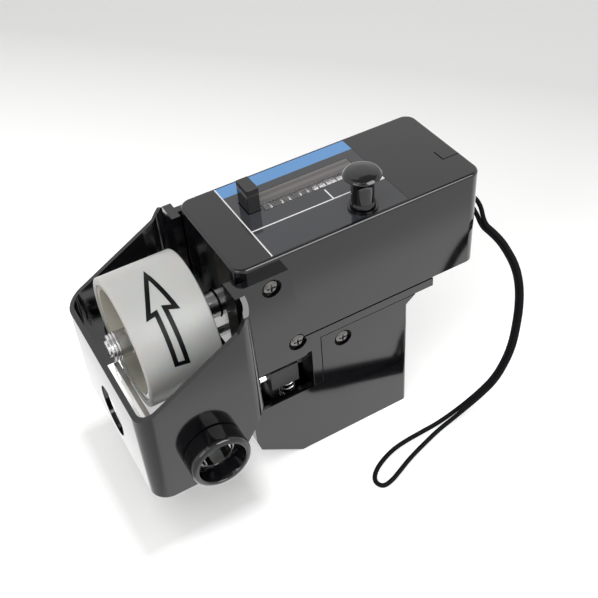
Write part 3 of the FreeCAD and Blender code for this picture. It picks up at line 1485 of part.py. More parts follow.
def rocker():
    """The steel rocker, tilted at rest so that its front end is up."""
    half = d.rocker_width / 2
    reach = root(d.rocker_span * d.rocker_span / 4 + HALF_TRAVEL * HALF_TRAVEL)
    slot_half = d.dowel_diameter / 2 + d.rocker_slot
    shift = reach - d.rocker_span / 2
    low = as_size(0)
    high = d.rocker_thickness
    bar = block((-reach, reach), (low, high), (-half, half))
    middle = rod("Y", low, high, (as_size(0), as_size(0)), d.boss_diameter)
    ends = [rod("Y", low, high, (x, as_size(0)), d.rocker_width) for x in (-reach, reach)]
    tools = [rod("Y", low - OVER, high + OVER, (as_size(0), as_size(0)),
                 d.pivot_diameter + d.running_gap * 2)]
    for side in (-1, 1):
        near = (reach - shift - d.rocker_slot) * side
        far = (reach + d.rocker_slot) * side
        tools.append(rod("Y", low - OVER, high + OVER, (near, as_size(0)), slot_half * 2))
        tools.append(rod("Y", low - OVER, high + OVER, (far, as_size(0)), slot_half * 2))
        span = (near, far) if side > 0 else (far, near)
        tools.append(block(span, (low - OVER, high + OVER), (-slot_half, slot_half)))
    plate = cut(join(bar, middle, *ends), *tools)
    plate.Placement = FreeCAD.Placement(FreeCAD.Vector(),
                                        FreeCAD.Rotation(FreeCAD.Vector(0, 1, 0), 1))
    tilt = Size(f"atan({(d.knob_travel / d.rocker_span).text})",
                math.degrees(math.atan(float(d.knob_travel / d.rocker_span))))
    bind(plate, "Placement.Rotation.Angle", tilt)
    place(plate, PIVOT_X, ROCKER_LOW, PIVOT_Z)
    keep(plate, "rocker")
    pin = rod("Y", -INNER_HALF, ROCKER_HIGH + d.clip_thickness * 2, (PIVOT_X, PIVOT_Z),
              d.pivot_diameter)
    keep(pin, "rocker_pivot_pin")
    clip = washer("Y", ROCKER_HIGH + d.fit_gap, ROCKER_HIGH + d.fit_gap + d.clip_thickness,
                  (PIVOT_X, PIVOT_Z), d.boss_diameter, d.pivot_diameter)
    return keep(clip, "rocker_clip")


def press_carriage():
    """The sliding block that carries both roller axles on two upright posts."""
    low = behind(d.carriage_setback)
    high = low + d.carriage_length
    half = INNER_HALF - d.carriage_side_gap
    body = block((low, high), (-half, half), CARRIAGE_Z)
    lug = block((high - OVER, CARRIAGE_PIN[0] + d.lug_length / 2),
                (LUG_LOW, LUG_LOW + d.lug_thickness),
                (CARRIAGE_PIN[1] - d.lug_height / 2, CARRIAGE_PIN[1] + d.lug_height / 2))
    notch_half = d.rocker_width / 2 + d.fit_gap * 4
    rocker_notch = block((CARRIAGE_PIN[0] - notch_half, CARRIAGE_PIN[0] + notch_half),
                         (ROCKER_LOW - d.fit_gap * 2, LUG_LOW),
                         (CARRIAGE_Z[0] - OVER, CARRIAGE_Z[1] + OVER))
    tools = [rod("Y", LUG_LOW - OVER, LUG_LOW + d.lug_thickness + OVER, CARRIAGE_PIN,
                 d.dowel_diameter), rocker_notch]
    for side in AXLE_SIDES:
        tools.append(rod("X", low - OVER, low + d.axle_in_carriage, (side, ROLLER_Z),
                         d.roller_axle_diameter))
        tools.append(rod("Z", CARRIAGE_Z[0] - OVER, CARRIAGE_Z[1] + OVER,
                         (behind(d.post_setback), side), d.post_diameter + d.running_gap * 2))
    keep(cut(join(body, lug), *tools), "press_carriage")
    dowel = rod("Y", ROCKER_LOW - d.fit_gap * 2, LUG_LOW + d.lug_thickness, CARRIAGE_PIN,
                d.dowel_diameter)
    return keep(dowel, "carriage_dowel")


def press_rollers():
    """Two chromed axles with a free roller on each, joined by a tie at the front."""
    low = behind(d.carriage_setback)
    roller_low = WHEEL_MIDDLE - d.roller_length / 2
    tie_high = roller_low - d.fit_gap * 2
    tie_low = tie_high - d.tie_thickness
    for side, name in zip(AXLE_SIDES, ("right", "left")):
        centre = (side, ROLLER_Z)
        keep(rod("X", tie_low, low + d.axle_in_carriage, centre, d.roller_axle_diameter),
             f"roller_axle_{name}")
        radius = ROLLER_RADIUS
        bore = d.roller_axle_diameter / 2 + d.running_gap
        roller = turned("X", roller_low, centre, [
            (0, bore),
            (0, radius * 0.72),
            (radius * 0.12, radius * 0.94),
            (radius * 0.3, radius),
            (d.roller_length - radius * 0.3, radius),
            (d.roller_length - radius * 0.12, radius * 0.94),
            (d.roller_length, radius * 0.72),
            (d.roller_length, bore),
        ])
        keep(roller, f"press_roller_{name}")
    half = AXLE_SIDE + d.tie_side_margin
    plate = block((tie_low, tie_high), (-half, half),
                  (ROLLER_Z - d.tie_height / 2, ROLLER_Z + d.tie_height / 2))
    holes = [rod("X", tie_low - OVER, tie_high + OVER, (side, ROLLER_Z), d.roller_axle_diameter)
             for side in AXLE_SIDES]
    return keep(cut(plate, *holes), "roller_tie")


def guide_posts():
    """The two chromed posts that the carriage slides on."""
    posts = [rod("Z", below(d.shelf_drop + d.shelf_thickness), below(d.block_drop) + d.post_depth,
                 (behind(d.post_setback), side), d.post_diameter)
             for side in AXLE_SIDES]
    return keep(group(*posts), "guide_posts")


def press_springs():
    """The springs round the posts that push the carriage up."""
    coils = []
    for side in AXLE_SIDES:
        coils.append(coil(float(d.press_turns), float(d.press_coil_radius), float(d.press_wire),
                          float(below(d.shelf_drop)), float(CARRIAGE_Z[0]),
                          (float(behind(d.post_setback)), float(side))))
    feature = document.addObject("Part::Feature", "springs")
    feature.Shape = Part.makeCompound(coils)
    return keep(feature, "press_springs")


def strap_knot():
    """The cord's whipped end round the strap pin."""
    pin_x = behind(d.housing_length - d.strap_recess_depth / 2)
    middle = below(d.strap_drop)
    half = d.strap_knot_height / 2
    knot = cut(rod("Z", middle - half, middle + half, (pin_x, d.strap_side),
                   d.strap_knot_diameter),
               rod("Z", middle - half - OVER, middle + half + OVER, (pin_x, d.strap_side),
                   d.strap_pin_diameter))
    return keep(knot, "strap_knot")


# The wrist cord's route, one strand down to the table, round the loop and back up.
STRAP_ROUTE = [
    (94.1, -12.0, 107.2),
    (100.2, -13.2, 106.2),
    (102.0, -19.4, 101.2),
    (101.3, -25.5, 96.1),
    (103.1, -30.4, 94.1),
    (105.0, -35.3, 90.8),
    (105.7, -40.2, 87.2),
    (106.3, -44.6, 82.7),
    (106.5, -48.0, 77.4),
    (105.6, -51.4, 70.8),
    (103.9, -54.3, 62.5),
    (101.6, -56.6, 53.6),
    (98.6, -58.5, 41.7),
    (94.1, -59.3, 31.5),
    (88.3, -59.5, 22.9),
    (81.0, -59.0, 17.1),
    (73.0, -58.0, 11.5),
    (67.1, -53.5, 1.3),
    (57.9, -54.7, 1.3),
    (47.1, -55.0, 1.3),
    (36.5, -55.3, 1.3),
    (27.4, -56.5, 1.3),
    (18.0, -60.0, 1.3),
    (11.8, -63.9, 1.3),
    (8.9, -68.6, 1.3),
    (11.0, -73.0, 1.3),
    (16.7, -72.3, 1.3),
    (23.5, -69.5, 1.3),
    (32.0, -65.8, 1.3),
    (43.3, -62.2, 1.3),
    (54.9, -58.8, 1.3),
    (66.2, -56.6, 1.3),
    (72.5, -60.8, 11.9),
    (80.7, -61.8, 17.6),
    (88.2, -62.3, 23.5),
    (94.3, -61.9, 32.4),
    (99.0, -61.1, 42.7),
    (102.1, -59.0, 54.9),
    (104.5, -56.7, 63.8),
    (106.3, -53.6, 72.3),
    (107.2, -50.0, 79.1),
    (107.1, -46.4, 84.7),
    (106.4, -41.8, 89.3),
    (105.7, -36.7, 93.1),
    (103.7, -31.6, 96.5),
    (101.8, -26.5, 98.7),
    (105.0, -18.4, 105.2),
    (101.2, -12.8, 109.6),
    (94.1, -12.0, 110.0),
]
ARC_SHARE = 0.45


def strap_path():
    """Straight runs joined by tangent arcs; the radii are printed."""
    points = [FreeCAD.Vector(*point) for point in STRAP_ROUTE]
    edges = []
    radii = []
    start = points[0]
    for before, corner, after in zip(points, points[1:], points[2:]):
        into = corner - before
        out = after - corner
        half_turn = into.getAngle(out) / 2
        reach = ARC_SHARE * min(into.Length, out.Length)
        radius = reach / math.tan(half_turn)
        radii.append(radius)
        into.normalize()
        out.normalize()
        first = corner - into * reach
        last = corner + out * reach
        inward = (out - into).normalize()
        middle = corner + inward * (radius / math.cos(half_turn) - radius)
        edges.append(Part.LineSegment(start, first).toShape())
        edges.append(Part.Arc(first, middle, last).toShape())
        start = last
    edges.append(Part.LineSegment(start, points[-1]).toShape())
    print("strap radii:", " ".join(f"{radius:.1f}" for radius in radii))
    return Part.Wire(edges)


def strap_cord():
    """The wrist cord as one round tube."""
    path = strap_path()
    radius = float(d.cord_diameter) / 2
    start = path.Edges[0]
    section = Part.Circle(start.valueAt(start.FirstParameter),
                          start.tangentAt(start.FirstParameter), radius)
    tube = path.makePipeShell([Part.Wire([section.toShape()])], True, False)
    lowest = min(point.z for point in path.discretize(Number=400))
    print(f"strap: volume {tube.Volume:.0f} mm3,"
          f" section times length {math.pi * radius ** 2 * path.Length:.0f} mm3,"
          f" lowest point {lowest - radius:.2f} mm")
    feature = document.addObject("Part::Feature", "strap")
    feature.Shape = tube
    return keep(feature, "strap_cord")


wheel_guard()
keep(side_screws(SCREW_PLACES, EAR_FACE), "guard_screws")
guide_bush("-Y", "guide_bush_right")
guide_bush("Y", "guide_bush_left")
bush_nuts()
bush_liners()
housing_cover()
label_plate()
counter_window()
chassis_plate()
strap_pin()
strap_knot()
strap_cord()
frame_saddle()
grip_body()
keep(side_screws([GRIP_SCREW], HALF), "grip_screws")
wheel_tyre()
wheel_disc()
wheel_shaft()
shaft_collars()
shaft_clips()
gear_train()
bearing_bracket()
shaft_bearings()
counter_frame()
counter_shafts()
number_drums()
transfer_pinions()
reset_button()
reset_comb()
reset_spring()
pull_knob()
knob_collar()
plunger()
rocker()
press_carriage()
press_rollers()
guide_posts()
press_springs()

document.recompute()

for item in document.Objects:
    if "Invalid" in item.State or "Error" in item.State:
        raise RuntimeError(f"{item.Label} ({item.Name}) failed: {item.State}")

os.makedirs("parts", exist_ok=True)
for part in parts:
    shape = part.Shape
    if shape.isNull() or not shape.isValid() or not shape.Solids:
        raise RuntimeError(f"{part.Label} has no valid solid")
    shape.exportStep(os.path.join("parts", f"{part.Label}.step"))
    print(f"{part.Label}: {len(shape.Solids)} solid(s), {shape.Volume:.1f} mm3")
print(f"{len(parts)} sub-parts")
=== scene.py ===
# %% [markdown]
# # A cable length counter, dressed over its CAD frame
#
# The counter measures cable that is drawn under a wheel 200 mm round. The CAD model gives every
# piece its place and size. This script gives the pieces their finish, rebuilds the turned and
# wound ones as smooth surfaces, prints the label, the figures and the arrow, and lays the
# wrist cord along its route.

# %% Load the frame
import math

import bmesh
import bpy
import numpy as np
from mathutils import Matrix, Vector


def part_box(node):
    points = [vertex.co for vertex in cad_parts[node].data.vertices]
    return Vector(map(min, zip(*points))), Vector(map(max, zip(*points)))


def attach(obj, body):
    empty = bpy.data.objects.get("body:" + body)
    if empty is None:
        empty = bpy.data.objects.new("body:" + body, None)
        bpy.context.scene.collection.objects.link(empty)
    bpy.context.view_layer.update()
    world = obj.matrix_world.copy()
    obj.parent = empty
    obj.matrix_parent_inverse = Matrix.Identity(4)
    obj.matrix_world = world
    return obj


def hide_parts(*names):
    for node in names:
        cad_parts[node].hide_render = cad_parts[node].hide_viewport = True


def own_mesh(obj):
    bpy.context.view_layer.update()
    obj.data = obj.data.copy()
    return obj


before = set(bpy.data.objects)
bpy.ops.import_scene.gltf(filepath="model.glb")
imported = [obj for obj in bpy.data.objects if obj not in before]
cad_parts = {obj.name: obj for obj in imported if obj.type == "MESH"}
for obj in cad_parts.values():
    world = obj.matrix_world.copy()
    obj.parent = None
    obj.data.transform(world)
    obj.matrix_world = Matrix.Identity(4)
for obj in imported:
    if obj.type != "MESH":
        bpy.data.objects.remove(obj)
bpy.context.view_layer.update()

print("nodes in the frame:", len(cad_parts))

# %% [markdown]
# ## Places taken from the frame
#
# Real sizes are easier to read in millimetres, so they are turned into metres at the last
# moment. The camera, the print on the label and the light on the floor are placed from the
# housing's front top edge, which the housing's own box gives. Most other places come from the
# boxes of the CAD pieces.

# %% Places
MM = 0.001
housing_low, housing_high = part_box("housing_cover")
FRONT = housing_low.x
TOP = housing_high.z
tyre_low, tyre_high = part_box("wheel_tyre")
WHEEL_Z = (tyre_low.z + tyre_high.z) / 2
WHEEL_RADIUS = (tyre_high.z - tyre_low.z) / 2
WHEEL_WIDTH = tyre_high.x - tyre_low.x
WHEEL_MIDDLE = (tyre_low.x + tyre_high.x) / 2
print(f"wheel {2 * WHEEL_RADIUS / MM:.2f} mm across, {WHEEL_WIDTH / MM:.1f} mm wide")

# %% [markdown]
# ## Shader maths that reads like arithmetic
#
# A pattern such as a printed line is a sum on coordinates. Wiring Math nodes by hand hides it,
# so a small class wraps a socket and its operators add the nodes. All other nodes come from one
# method that takes the node's type, its settings and its inputs.

# %% Fields and paints
class Field:
    """A shader socket that adds, multiplies and compares like a number."""

    def __init__(self, paint, socket):
        self.paint = paint
        self.socket = socket

    def maths(self, operation, *values, clamp=False):
        inputs = dict(enumerate([self, *values]))
        settings = {"operation": operation, "use_clamp": clamp}
        return self.paint.add("ShaderNodeMath", settings, inputs)

    def __add__(self, other):
        return self.maths("ADD", other)

    def __sub__(self, other):
        return self.maths("SUBTRACT", other)

    def __mul__(self, other):
        return self.maths("MULTIPLY", other)

    def __truediv__(self, other):
        return self.maths("DIVIDE", other)

    def __gt__(self, other):
        return self.maths("GREATER_THAN", other)

    def __rsub__(self, other):
        return self * -1.0 + other

    __rmul__ = __mul__

    def clamped(self):
        return self.maths("ADD", 0.0, clamp=True)

    def sine(self):
        return self.maths("SINE")

    def within(self, low, high, soft):
        """1 between low and high, falling to 0 over the soft width on each side."""
        rise = ((self - low) / soft + 0.5).clamped()
        fall = ((high - self) / soft + 0.5).clamped()
        return rise * fall


class Paint:
    """A material around one Principled shader, with its nodes added one at a time."""

    def __init__(self, name, **fixed):
        self.material = bpy.data.materials.new(name)
        self.material.use_nodes = True
        tree = self.material.node_tree
        tree.nodes.clear()
        self.nodes = tree.nodes
        self.links = tree.links
        self.surface = self.nodes.new("ShaderNodeBsdfPrincipled")
        self.output = self.nodes.new("ShaderNodeOutputMaterial")
        self.links.new(self.surface.outputs["BSDF"], self.output.inputs["Surface"])
        for label, value in fixed.items():
            self.drive(label.replace("_", " ").title().replace("Ior", "IOR"), value)

    def connect(self, socket, value):
        if isinstance(value, Field):
            self.links.new(value.socket, socket)
        else:
            socket.default_value = value

    def add(self, kind, settings, inputs, output=0):
        node = self.nodes.new(kind)
        for name, value in settings.items():
            setattr(node, name, value)
        for socket, value in inputs.items():
            self.connect(node.inputs[socket], value)
        return Field(self, node.outputs[output])

    def drive(self, label, value):
        self.connect(self.surface.inputs[label], value)

    def point(self):
        return self.add("ShaderNodeTexCoord", {}, {}, "Object")

    def axes(self):
        """Object coordinates in millimetres from the housing's front top edge."""
        moved = self.add("ShaderNodeVectorMath", {"operation": "SUBTRACT"},
                         {0: self.point(), 1: (FRONT, 0.0, TOP)})
        scaled = self.add("ShaderNodeVectorMath", {"operation": "SCALE"},
                          {0: moved, "Scale": 1 / MM})
        split = self.nodes.new("ShaderNodeSeparateXYZ")
        self.links.new(scaled.socket, split.inputs[0])
        return [Field(self, socket) for socket in split.outputs]

    def noise(self, cells_per_mm, detail=2.0, stretch=(1.0, 1.0, 1.0)):
        """Smooth noise between 0 and 1, stretched along the axes."""
        place = self.add("ShaderNodeMapping", {}, {"Vector": self.point(), "Scale": stretch})
        return self.add("ShaderNodeTexNoise", {},
                        {"Vector": place, "Scale": cells_per_mm / MM, "Detail": detail})

    def mixed(self, mask, first, second):
        """The first colour where the mask is 0, the second where it is 1."""
        return self.add("ShaderNodeMix", {"data_type": "RGBA"},
                        {0: mask, 6: first, 7: second}, output=2)

    def bump(self, height, strength, depth_mm):
        relief = self.add("ShaderNodeBump", {},
                          {"Height": height, "Strength": strength, "Distance": depth_mm * MM})
        self.drive("Normal", relief)


def grey(level):
    return (level, level, level, 1.0)


# %% [markdown]
# ## Surfaces as numpy grids
#
# Nearly every new piece is a grid of points: rows along a profile or a path, columns round it.
# The faces of such a grid are the same arithmetic each time. A closed surface has a positive
# volume when its faces point outwards, which is how a grid that came out inside out is noticed.

# %% Grids, turned surfaces and tubes
WELD_M = 1e-7
STARTS_UPRIGHT = 0.1


def grid_faces(rows, columns, wrap_rows, wrap_columns):
    """Quads of a grid of points in row order; a wrapped direction joins its last line to its
    first."""
    row = np.arange(rows if wrap_rows else rows - 1)[:, None]
    column = np.arange(columns if wrap_columns else columns - 1)[None, :]
    next_row = (row + 1) % rows
    next_column = (column + 1) % columns
    corners = [row * columns + column, row * columns + next_column,
               next_row * columns + next_column, next_row * columns + column]
    return np.stack(np.broadcast_arrays(*corners), axis=-1).reshape(-1, 4)


def signed_volume(points, faces):
    """Sum of the tetrahedra from the origin to each half quad."""
    a, b, c, d = (points[faces[:, index]] for index in range(4))
    return (np.einsum("ij,ij->i", a, np.cross(b, c)).sum()
            + np.einsum("ij,ij->i", a, np.cross(c, d)).sum()) / 6


def solid_piece(name, points, faces, paint, body, stands_for=(), sharp=40.0):
    """A mesh object from arrays, merged at its poles, that rides on a body."""
    if signed_volume(points, faces) < 0:
        faces = faces[:, ::-1]
    mesh = bpy.data.meshes.new(name)
    mesh.from_pydata(points.tolist(), [], faces.tolist())
    work = bmesh.new()
    work.from_mesh(mesh)
    bmesh.ops.remove_doubles(work, verts=work.verts, dist=WELD_M)
    work.to_mesh(mesh)
    work.free()
    mesh.polygons.foreach_set("use_smooth", [True] * len(mesh.polygons))
    mesh.set_sharp_from_angle(angle=math.radians(sharp))
    piece = bpy.data.objects.new(name, mesh)
    bpy.context.scene.collection.objects.link(piece)
    mesh.materials.append(paint.material)
    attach(piece, body)
    if stands_for:
        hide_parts(*stands_for)
    return piece


def softened(corners, radii, steps=5):
    """A profile whose corners are turned into arcs: each arc leaves its two sides at the same
    distance from the corner and is sampled as a quadratic curve through them."""
    corners = np.asarray(corners, float)
    before = np.roll(corners, 1, axis=0)
    after = np.roll(corners, -1, axis=0)
    share = np.linspace(0, 1, steps)[:, None]
    points = []
    for corner, previous, following, radius in zip(corners, before, after, radii):
        if radius == 0:
            points.append(corner[None, :])
            continue
        back = (previous - corner) / np.linalg.norm(previous - corner)
        onward = (following - corner) / np.linalg.norm(following - corner)
        start = corner + back * radius
        end = corner + onward * radius
        points.append((1 - share) ** 2 * start + 2 * share * (1 - share) * corner
                      + share ** 2 * end)
    return np.concatenate(points)


def turned_grid(profile, axis, centre, columns=128):
    """A closed (along, radius) profile carried round an axis. Points in metres; centre is the
    point on the axis where along is 0."""
    angle = np.linspace(0, 2 * np.pi, columns, endpoint=False)
    along = np.repeat(profile[:, :1], columns, axis=1)
    across = profile[:, 1:] * np.cos(angle)
    up = profile[:, 1:] * np.sin(angle)
    order = {"X": (along, across, up), "Y": (across, along, up), "Z": (across, up, along)}[axis]
    points = np.stack(order, axis=-1).reshape(-1, 3) * MM + np.asarray(centre)
    return points, grid_faces(len(profile), columns, True, True)


def along_path(path):
    """Unit tangents of a path and two directions square to them that don't twist: each
    direction is the last one with its part along the new tangent taken out. The first is
    level, or along X where the path starts upright."""
    tangents = np.gradient(path, axis=0)
    tangents /= np.linalg.norm(tangents, axis=1, keepdims=True)
    side = np.cross(tangents[0], (0.0, 0.0, 1.0))
    if np.linalg.norm(side) < STARTS_UPRIGHT:
        side = np.array((1.0, 0.0, 0.0))
    sides = np.empty_like(path)
    for index, tangent in enumerate(tangents):
        side = side - tangent * np.dot(side, tangent)
        side = side / np.linalg.norm(side)
        sides[index] = side
    return tangents, sides, np.cross(tangents, sides)


def tube_grid(path, radii, columns):
    """Rings of the given radii, one for each point of a path, with a point at each end.
    radii is one number, one for each ring, or a grid of them."""
    tangents, sides, ups = along_path(path)
    angle = np.linspace(0, 2 * np.pi, columns, endpoint=False)
    radii = np.broadcast_to(np.asarray(radii, float), (len(path), columns))
    rings = (path[:, None, :] + radii[..., None] * (sides[:, None, :] * np.cos(angle)[:, None]
                                                    + ups[:, None, :] * np.sin(angle)[:, None]))
    first = np.broadcast_to(path[0], (1, columns, 3))
    last = np.broadcast_to(path[-1], (1, columns, 3))
    points = np.concatenate([first, rings, last]).reshape(-1, 3)
    return points, grid_faces(len(path) + 2, columns, False, True)


# %% [markdown]
# ## Camera
#
# The camera was found by fitting a pinhole camera to the housing's corners: it looks down by
# 44 degrees from the right and the front, and is rolled by 5 degrees.

# %% Camera
LOOK_AZIMUTH = math.radians(-26.235)
LOOK_DOWN = math.radians(43.947)
LOOK_ROLL = math.radians(-5.192)
FOCAL_PIXELS = 922.981
PICTURE_PIXELS = 598
AXIS_BELOW_MIDDLE_PIXELS = 8
SENSOR_MM = 36.0
CLIP_START_M = 0.01
EYE_MM = (-104.7, -299.82, 256.2)


def camera_turn():
    """Columns right, up and back of the camera, from its azimuth, elevation and roll."""
    back = np.array([math.sin(LOOK_AZIMUTH) * math.cos(LOOK_DOWN),
                     -math.cos(LOOK_AZIMUTH) * math.cos(LOOK_DOWN), math.sin(LOOK_DOWN)])
    right = np.cross(-back, (0, 0, 1))
    right /= np.linalg.norm(right)
    up = np.cross(right, -back)
    rolled_right = right * math.cos(LOOK_ROLL) + up * math.sin(LOOK_ROLL)
    rolled_up = up * math.cos(LOOK_ROLL) - right * math.sin(LOOK_ROLL)
    return Matrix(np.column_stack([rolled_right, rolled_up, back]).tolist())


camera_data = bpy.data.cameras.new("camera")
camera_data.sensor_width = SENSOR_MM
camera_data.lens = FOCAL_PIXELS / PICTURE_PIXELS * SENSOR_MM
camera_data.shift_y = AXIS_BELOW_MIDDLE_PIXELS / PICTURE_PIXELS
camera_data.clip_start = CLIP_START_M
camera = bpy.data.objects.new("camera", camera_data)
camera.matrix_world = Matrix.Translation(
    Vector((FRONT, 0, TOP)) + Vector(EYE_MM) * MM) @ camera_turn().to_4x4()
bpy.context.scene.collection.objects.link(camera)
bpy.context.scene.camera = camera
print(f"lens {camera_data.lens:.2f} mm")

# %% [markdown]
# ## Floor, room and lamps
#
# The tool stands on white paper in soft light. The paper glows a little to the camera, which
# keeps its shadows as faint as in the photo. That glow fades towards the far right, and it is
# weak below the guard: that is painted shade, the guard's shadow on the paper. Black polished
# plastic shows little of its own colour: what is seen on it is mostly the paper and the room in
# reflection, so these matter more than lamps. In reflections the paper glows more, except near
# the camera and past the guard, where the photo's reflections are darker.

# %% Floor
FLOOR_HALF_M = 3.0
GLOW_SEEN = 0.50
FAR_LEAN = 0.9
FAR_START_MM = 100.0
FAR_FALL_MM = 420.0
GLOW_FAR_LOSS = 0.46
GUARD_X_MM = (-78.0, -6.0)
GUARD_Y_MM = (-50.0, 50.0)
GUARD_SOFT_MM = 14.0
PAINTED_GUARD_SHADE = 0.8
GLOW_MIRRORED = 0.95
NEAR_EDGE_MM = -140.0
NEAR_SHARE = 0.5
PAST_GUARD_EDGE_MM = -80.0
PAST_GUARD_SHARE = 0.1
EDGE_SOFT_MM = 20.0


def floor_paint():
    """White paper whose glow depends on the place and on whether a mirror sees it."""
    paint = Paint("white_paper", roughness=0.9)
    paper = paint.noise(0.6, 3.0)
    paint.drive("Base Color", paint.mixed(paper, grey(0.80), grey(0.84)))
    path = paint.nodes.new("ShaderNodeLightPath")
    seen = Field(paint, path.outputs["Is Camera Ray"])
    mirrored = Field(paint, path.outputs["Is Glossy Ray"])
    x, y, z = paint.axes()
    far = ((y * FAR_LEAN + x - FAR_START_MM) / FAR_FALL_MM).clamped()
    # Painted shade: the glow is weaker in a soft box below the guard, for the guard's shadow on
    # the paper.
    guard = x.within(*GUARD_X_MM, GUARD_SOFT_MM) * y.within(*GUARD_Y_MM, GUARD_SOFT_MM)
    to_camera = seen * (GLOW_SEEN - GLOW_FAR_LOSS * far) * (1 - guard * PAINTED_GUARD_SHADE)
    behind = ((y - NEAR_EDGE_MM) / EDGE_SOFT_MM + 0.5).clamped()
    inside = ((x - PAST_GUARD_EDGE_MM) / EDGE_SOFT_MM + 0.5).clamped()
    to_mirrors = (mirrored * GLOW_MIRRORED * (behind * (1 - NEAR_SHARE) + NEAR_SHARE)
                  * (inside * (1 - PAST_GUARD_SHARE) + PAST_GUARD_SHARE))
    glow = (to_camera + to_mirrors).clamped()
    paint.drive("Emission Color", paint.mixed(glow, grey(0.0), grey(1.0)))
    paint.drive("Emission Strength", 1.0)
    return paint


corners = np.array([(-1, -1), (1, -1), (1, 1), (-1, 1)]) * FLOOR_HALF_M
floor_mesh = bpy.data.meshes.new("floor")
floor_mesh.from_pydata([(x, y, 0.0) for x, y in corners.tolist()], [], [(0, 1, 2, 3)])
floor_mesh.materials.append(floor_paint().material)
floor = bpy.data.objects.new("floor", floor_mesh)
bpy.context.scene.collection.objects.link(floor)

# %% Room and lamps
ROOM_COLOUR = (1.0, 0.992, 0.98, 1.0)
ROOM_LIGHT = 0.55
ROOM_IN_MIRRORS = 1.25

world = bpy.data.worlds.new("room")
bpy.context.scene.world = world
world.use_nodes = True
room = world.node_tree
background = room.nodes["Background"]
background.inputs["Color"].default_value = ROOM_COLOUR
rays = room.nodes.new("ShaderNodeLightPath")
brightness = room.nodes.new("ShaderNodeMix")
brightness.inputs[2].default_value = ROOM_LIGHT
brightness.inputs[3].default_value = ROOM_IN_MIRRORS
room.links.new(rays.outputs["Is Glossy Ray"], brightness.inputs[0])
room.links.new(brightness.outputs[0], background.inputs["Strength"])


def softbox(name, place_m, aim_m, width_m, watts, only_in_mirrors=False):
    """A square lamp that points at the tool. One that is only for mirrors draws highlights on
    rounded edges and lights nothing else."""
    light = bpy.data.lights.new(name, "AREA")
    light.size = width_m
    light.energy = watts
    lamp = bpy.data.objects.new(name, light)
    lamp.location = place_m
    aim = Vector(aim_m) - Vector(place_m)
    lamp.rotation_euler = aim.to_track_quat("-Z", "Y").to_euler()
    lamp.visible_diffuse = not only_in_mirrors
    lamp.visible_transmission = not only_in_mirrors
    bpy.context.scene.collection.objects.link(lamp)


TOOL_MIDDLE = (0.0, 0.0, 0.08)
softbox("lamp_above", (-0.2, -0.3, 1.1), TOOL_MIDDLE, 0.7, 5.5)
softbox("lamp_left", (-0.9, -0.35, 0.7), TOOL_MIDDLE, 0.5, 2.5)
softbox("lamp_front", (0.32, -0.7, 0.73), TOOL_MIDDLE, 0.6, 8.0, only_in_mirrors=True)

# %% [markdown]
# Two level cards that only mirrors see stand for dark things outside the picture. A large one
# overhead keeps the rims and roundings dark. A narrow one on the paper, beside the grip, makes
# the dark strip that the grip reflects.

# %% Cards for the mirrors
CARD_ABOVE_MM = [(-466, -900), (934, -900), (934, 420), (-466, 420)]
CARD_LOW_MM = [(46, -77), (150, -43), (150, -29), (46, -61)]


def mirror_card(name, corners_mm, height_mm, level):
    """A card at a height above the table, its corners in millimetres from the housing's front
    face and the middle of the tool."""
    mesh = bpy.data.meshes.new(name)
    mesh.from_pydata([(FRONT + x * MM, y * MM, height_mm * MM) for x, y in corners_mm], [],
                     [(0, 1, 2, 3)])
    paint = Paint(name, roughness=1.0, specular_ior_level=0.0)
    paint.drive("Base Color", paint.mixed(paint.noise(0.01), grey(0.02), grey(0.04)))
    paint.drive("Emission Color", grey(level))
    paint.drive("Emission Strength", 1.0)
    mesh.materials.append(paint.material)
    card = bpy.data.objects.new(name, mesh)
    bpy.context.scene.collection.objects.link(card)
    card.visible_camera = False
    card.visible_diffuse = False
    card.visible_shadow = False
    card.visible_transmission = False


mirror_card("card_above", CARD_ABOVE_MM, height_mm=1000, level=0.35)
mirror_card("card_low", CARD_LOW_MM, height_mm=0.4, level=0.02)

# %% [markdown]
# ## Finishes
#
# Most of the tool is polished black ABS. It is never a perfect mirror: the mould leaves a faint
# waviness, and handling leaves fine dust and hairlines, which show as small changes of
# roughness. The same helper makes the satin plastics with other numbers.

# %% Plastics
CLOUD_LIGHTER = 1.25
CLOUD_LIFT = 0.001
GLOSS_SPREAD = 0.05


def moulded_plastic(name, colour, roughness, wave_mm=0.004, **fixed):
    """Moulded plastic: slightly uneven colour and gloss, with a shallow waviness."""
    paint = Paint(name, **fixed)
    cloud = paint.noise(0.05, 4.0)
    lighter = [min(1.0, channel * CLOUD_LIGHTER + CLOUD_LIFT) for channel in colour[:3]] + [1.0]
    paint.drive("Base Color", paint.mixed(cloud, colour, lighter))
    dust = paint.noise(1.6, 3.0)
    hairlines = paint.noise(0.9, 2.0, stretch=(1.0, 0.12, 1.0))
    uneven = dust * GLOSS_SPREAD + hairlines * GLOSS_SPREAD
    paint.drive("Roughness", uneven + (roughness - GLOSS_SPREAD))
    paint.bump(paint.noise(0.16, 1.0), 0.5, wave_mm)
    return paint


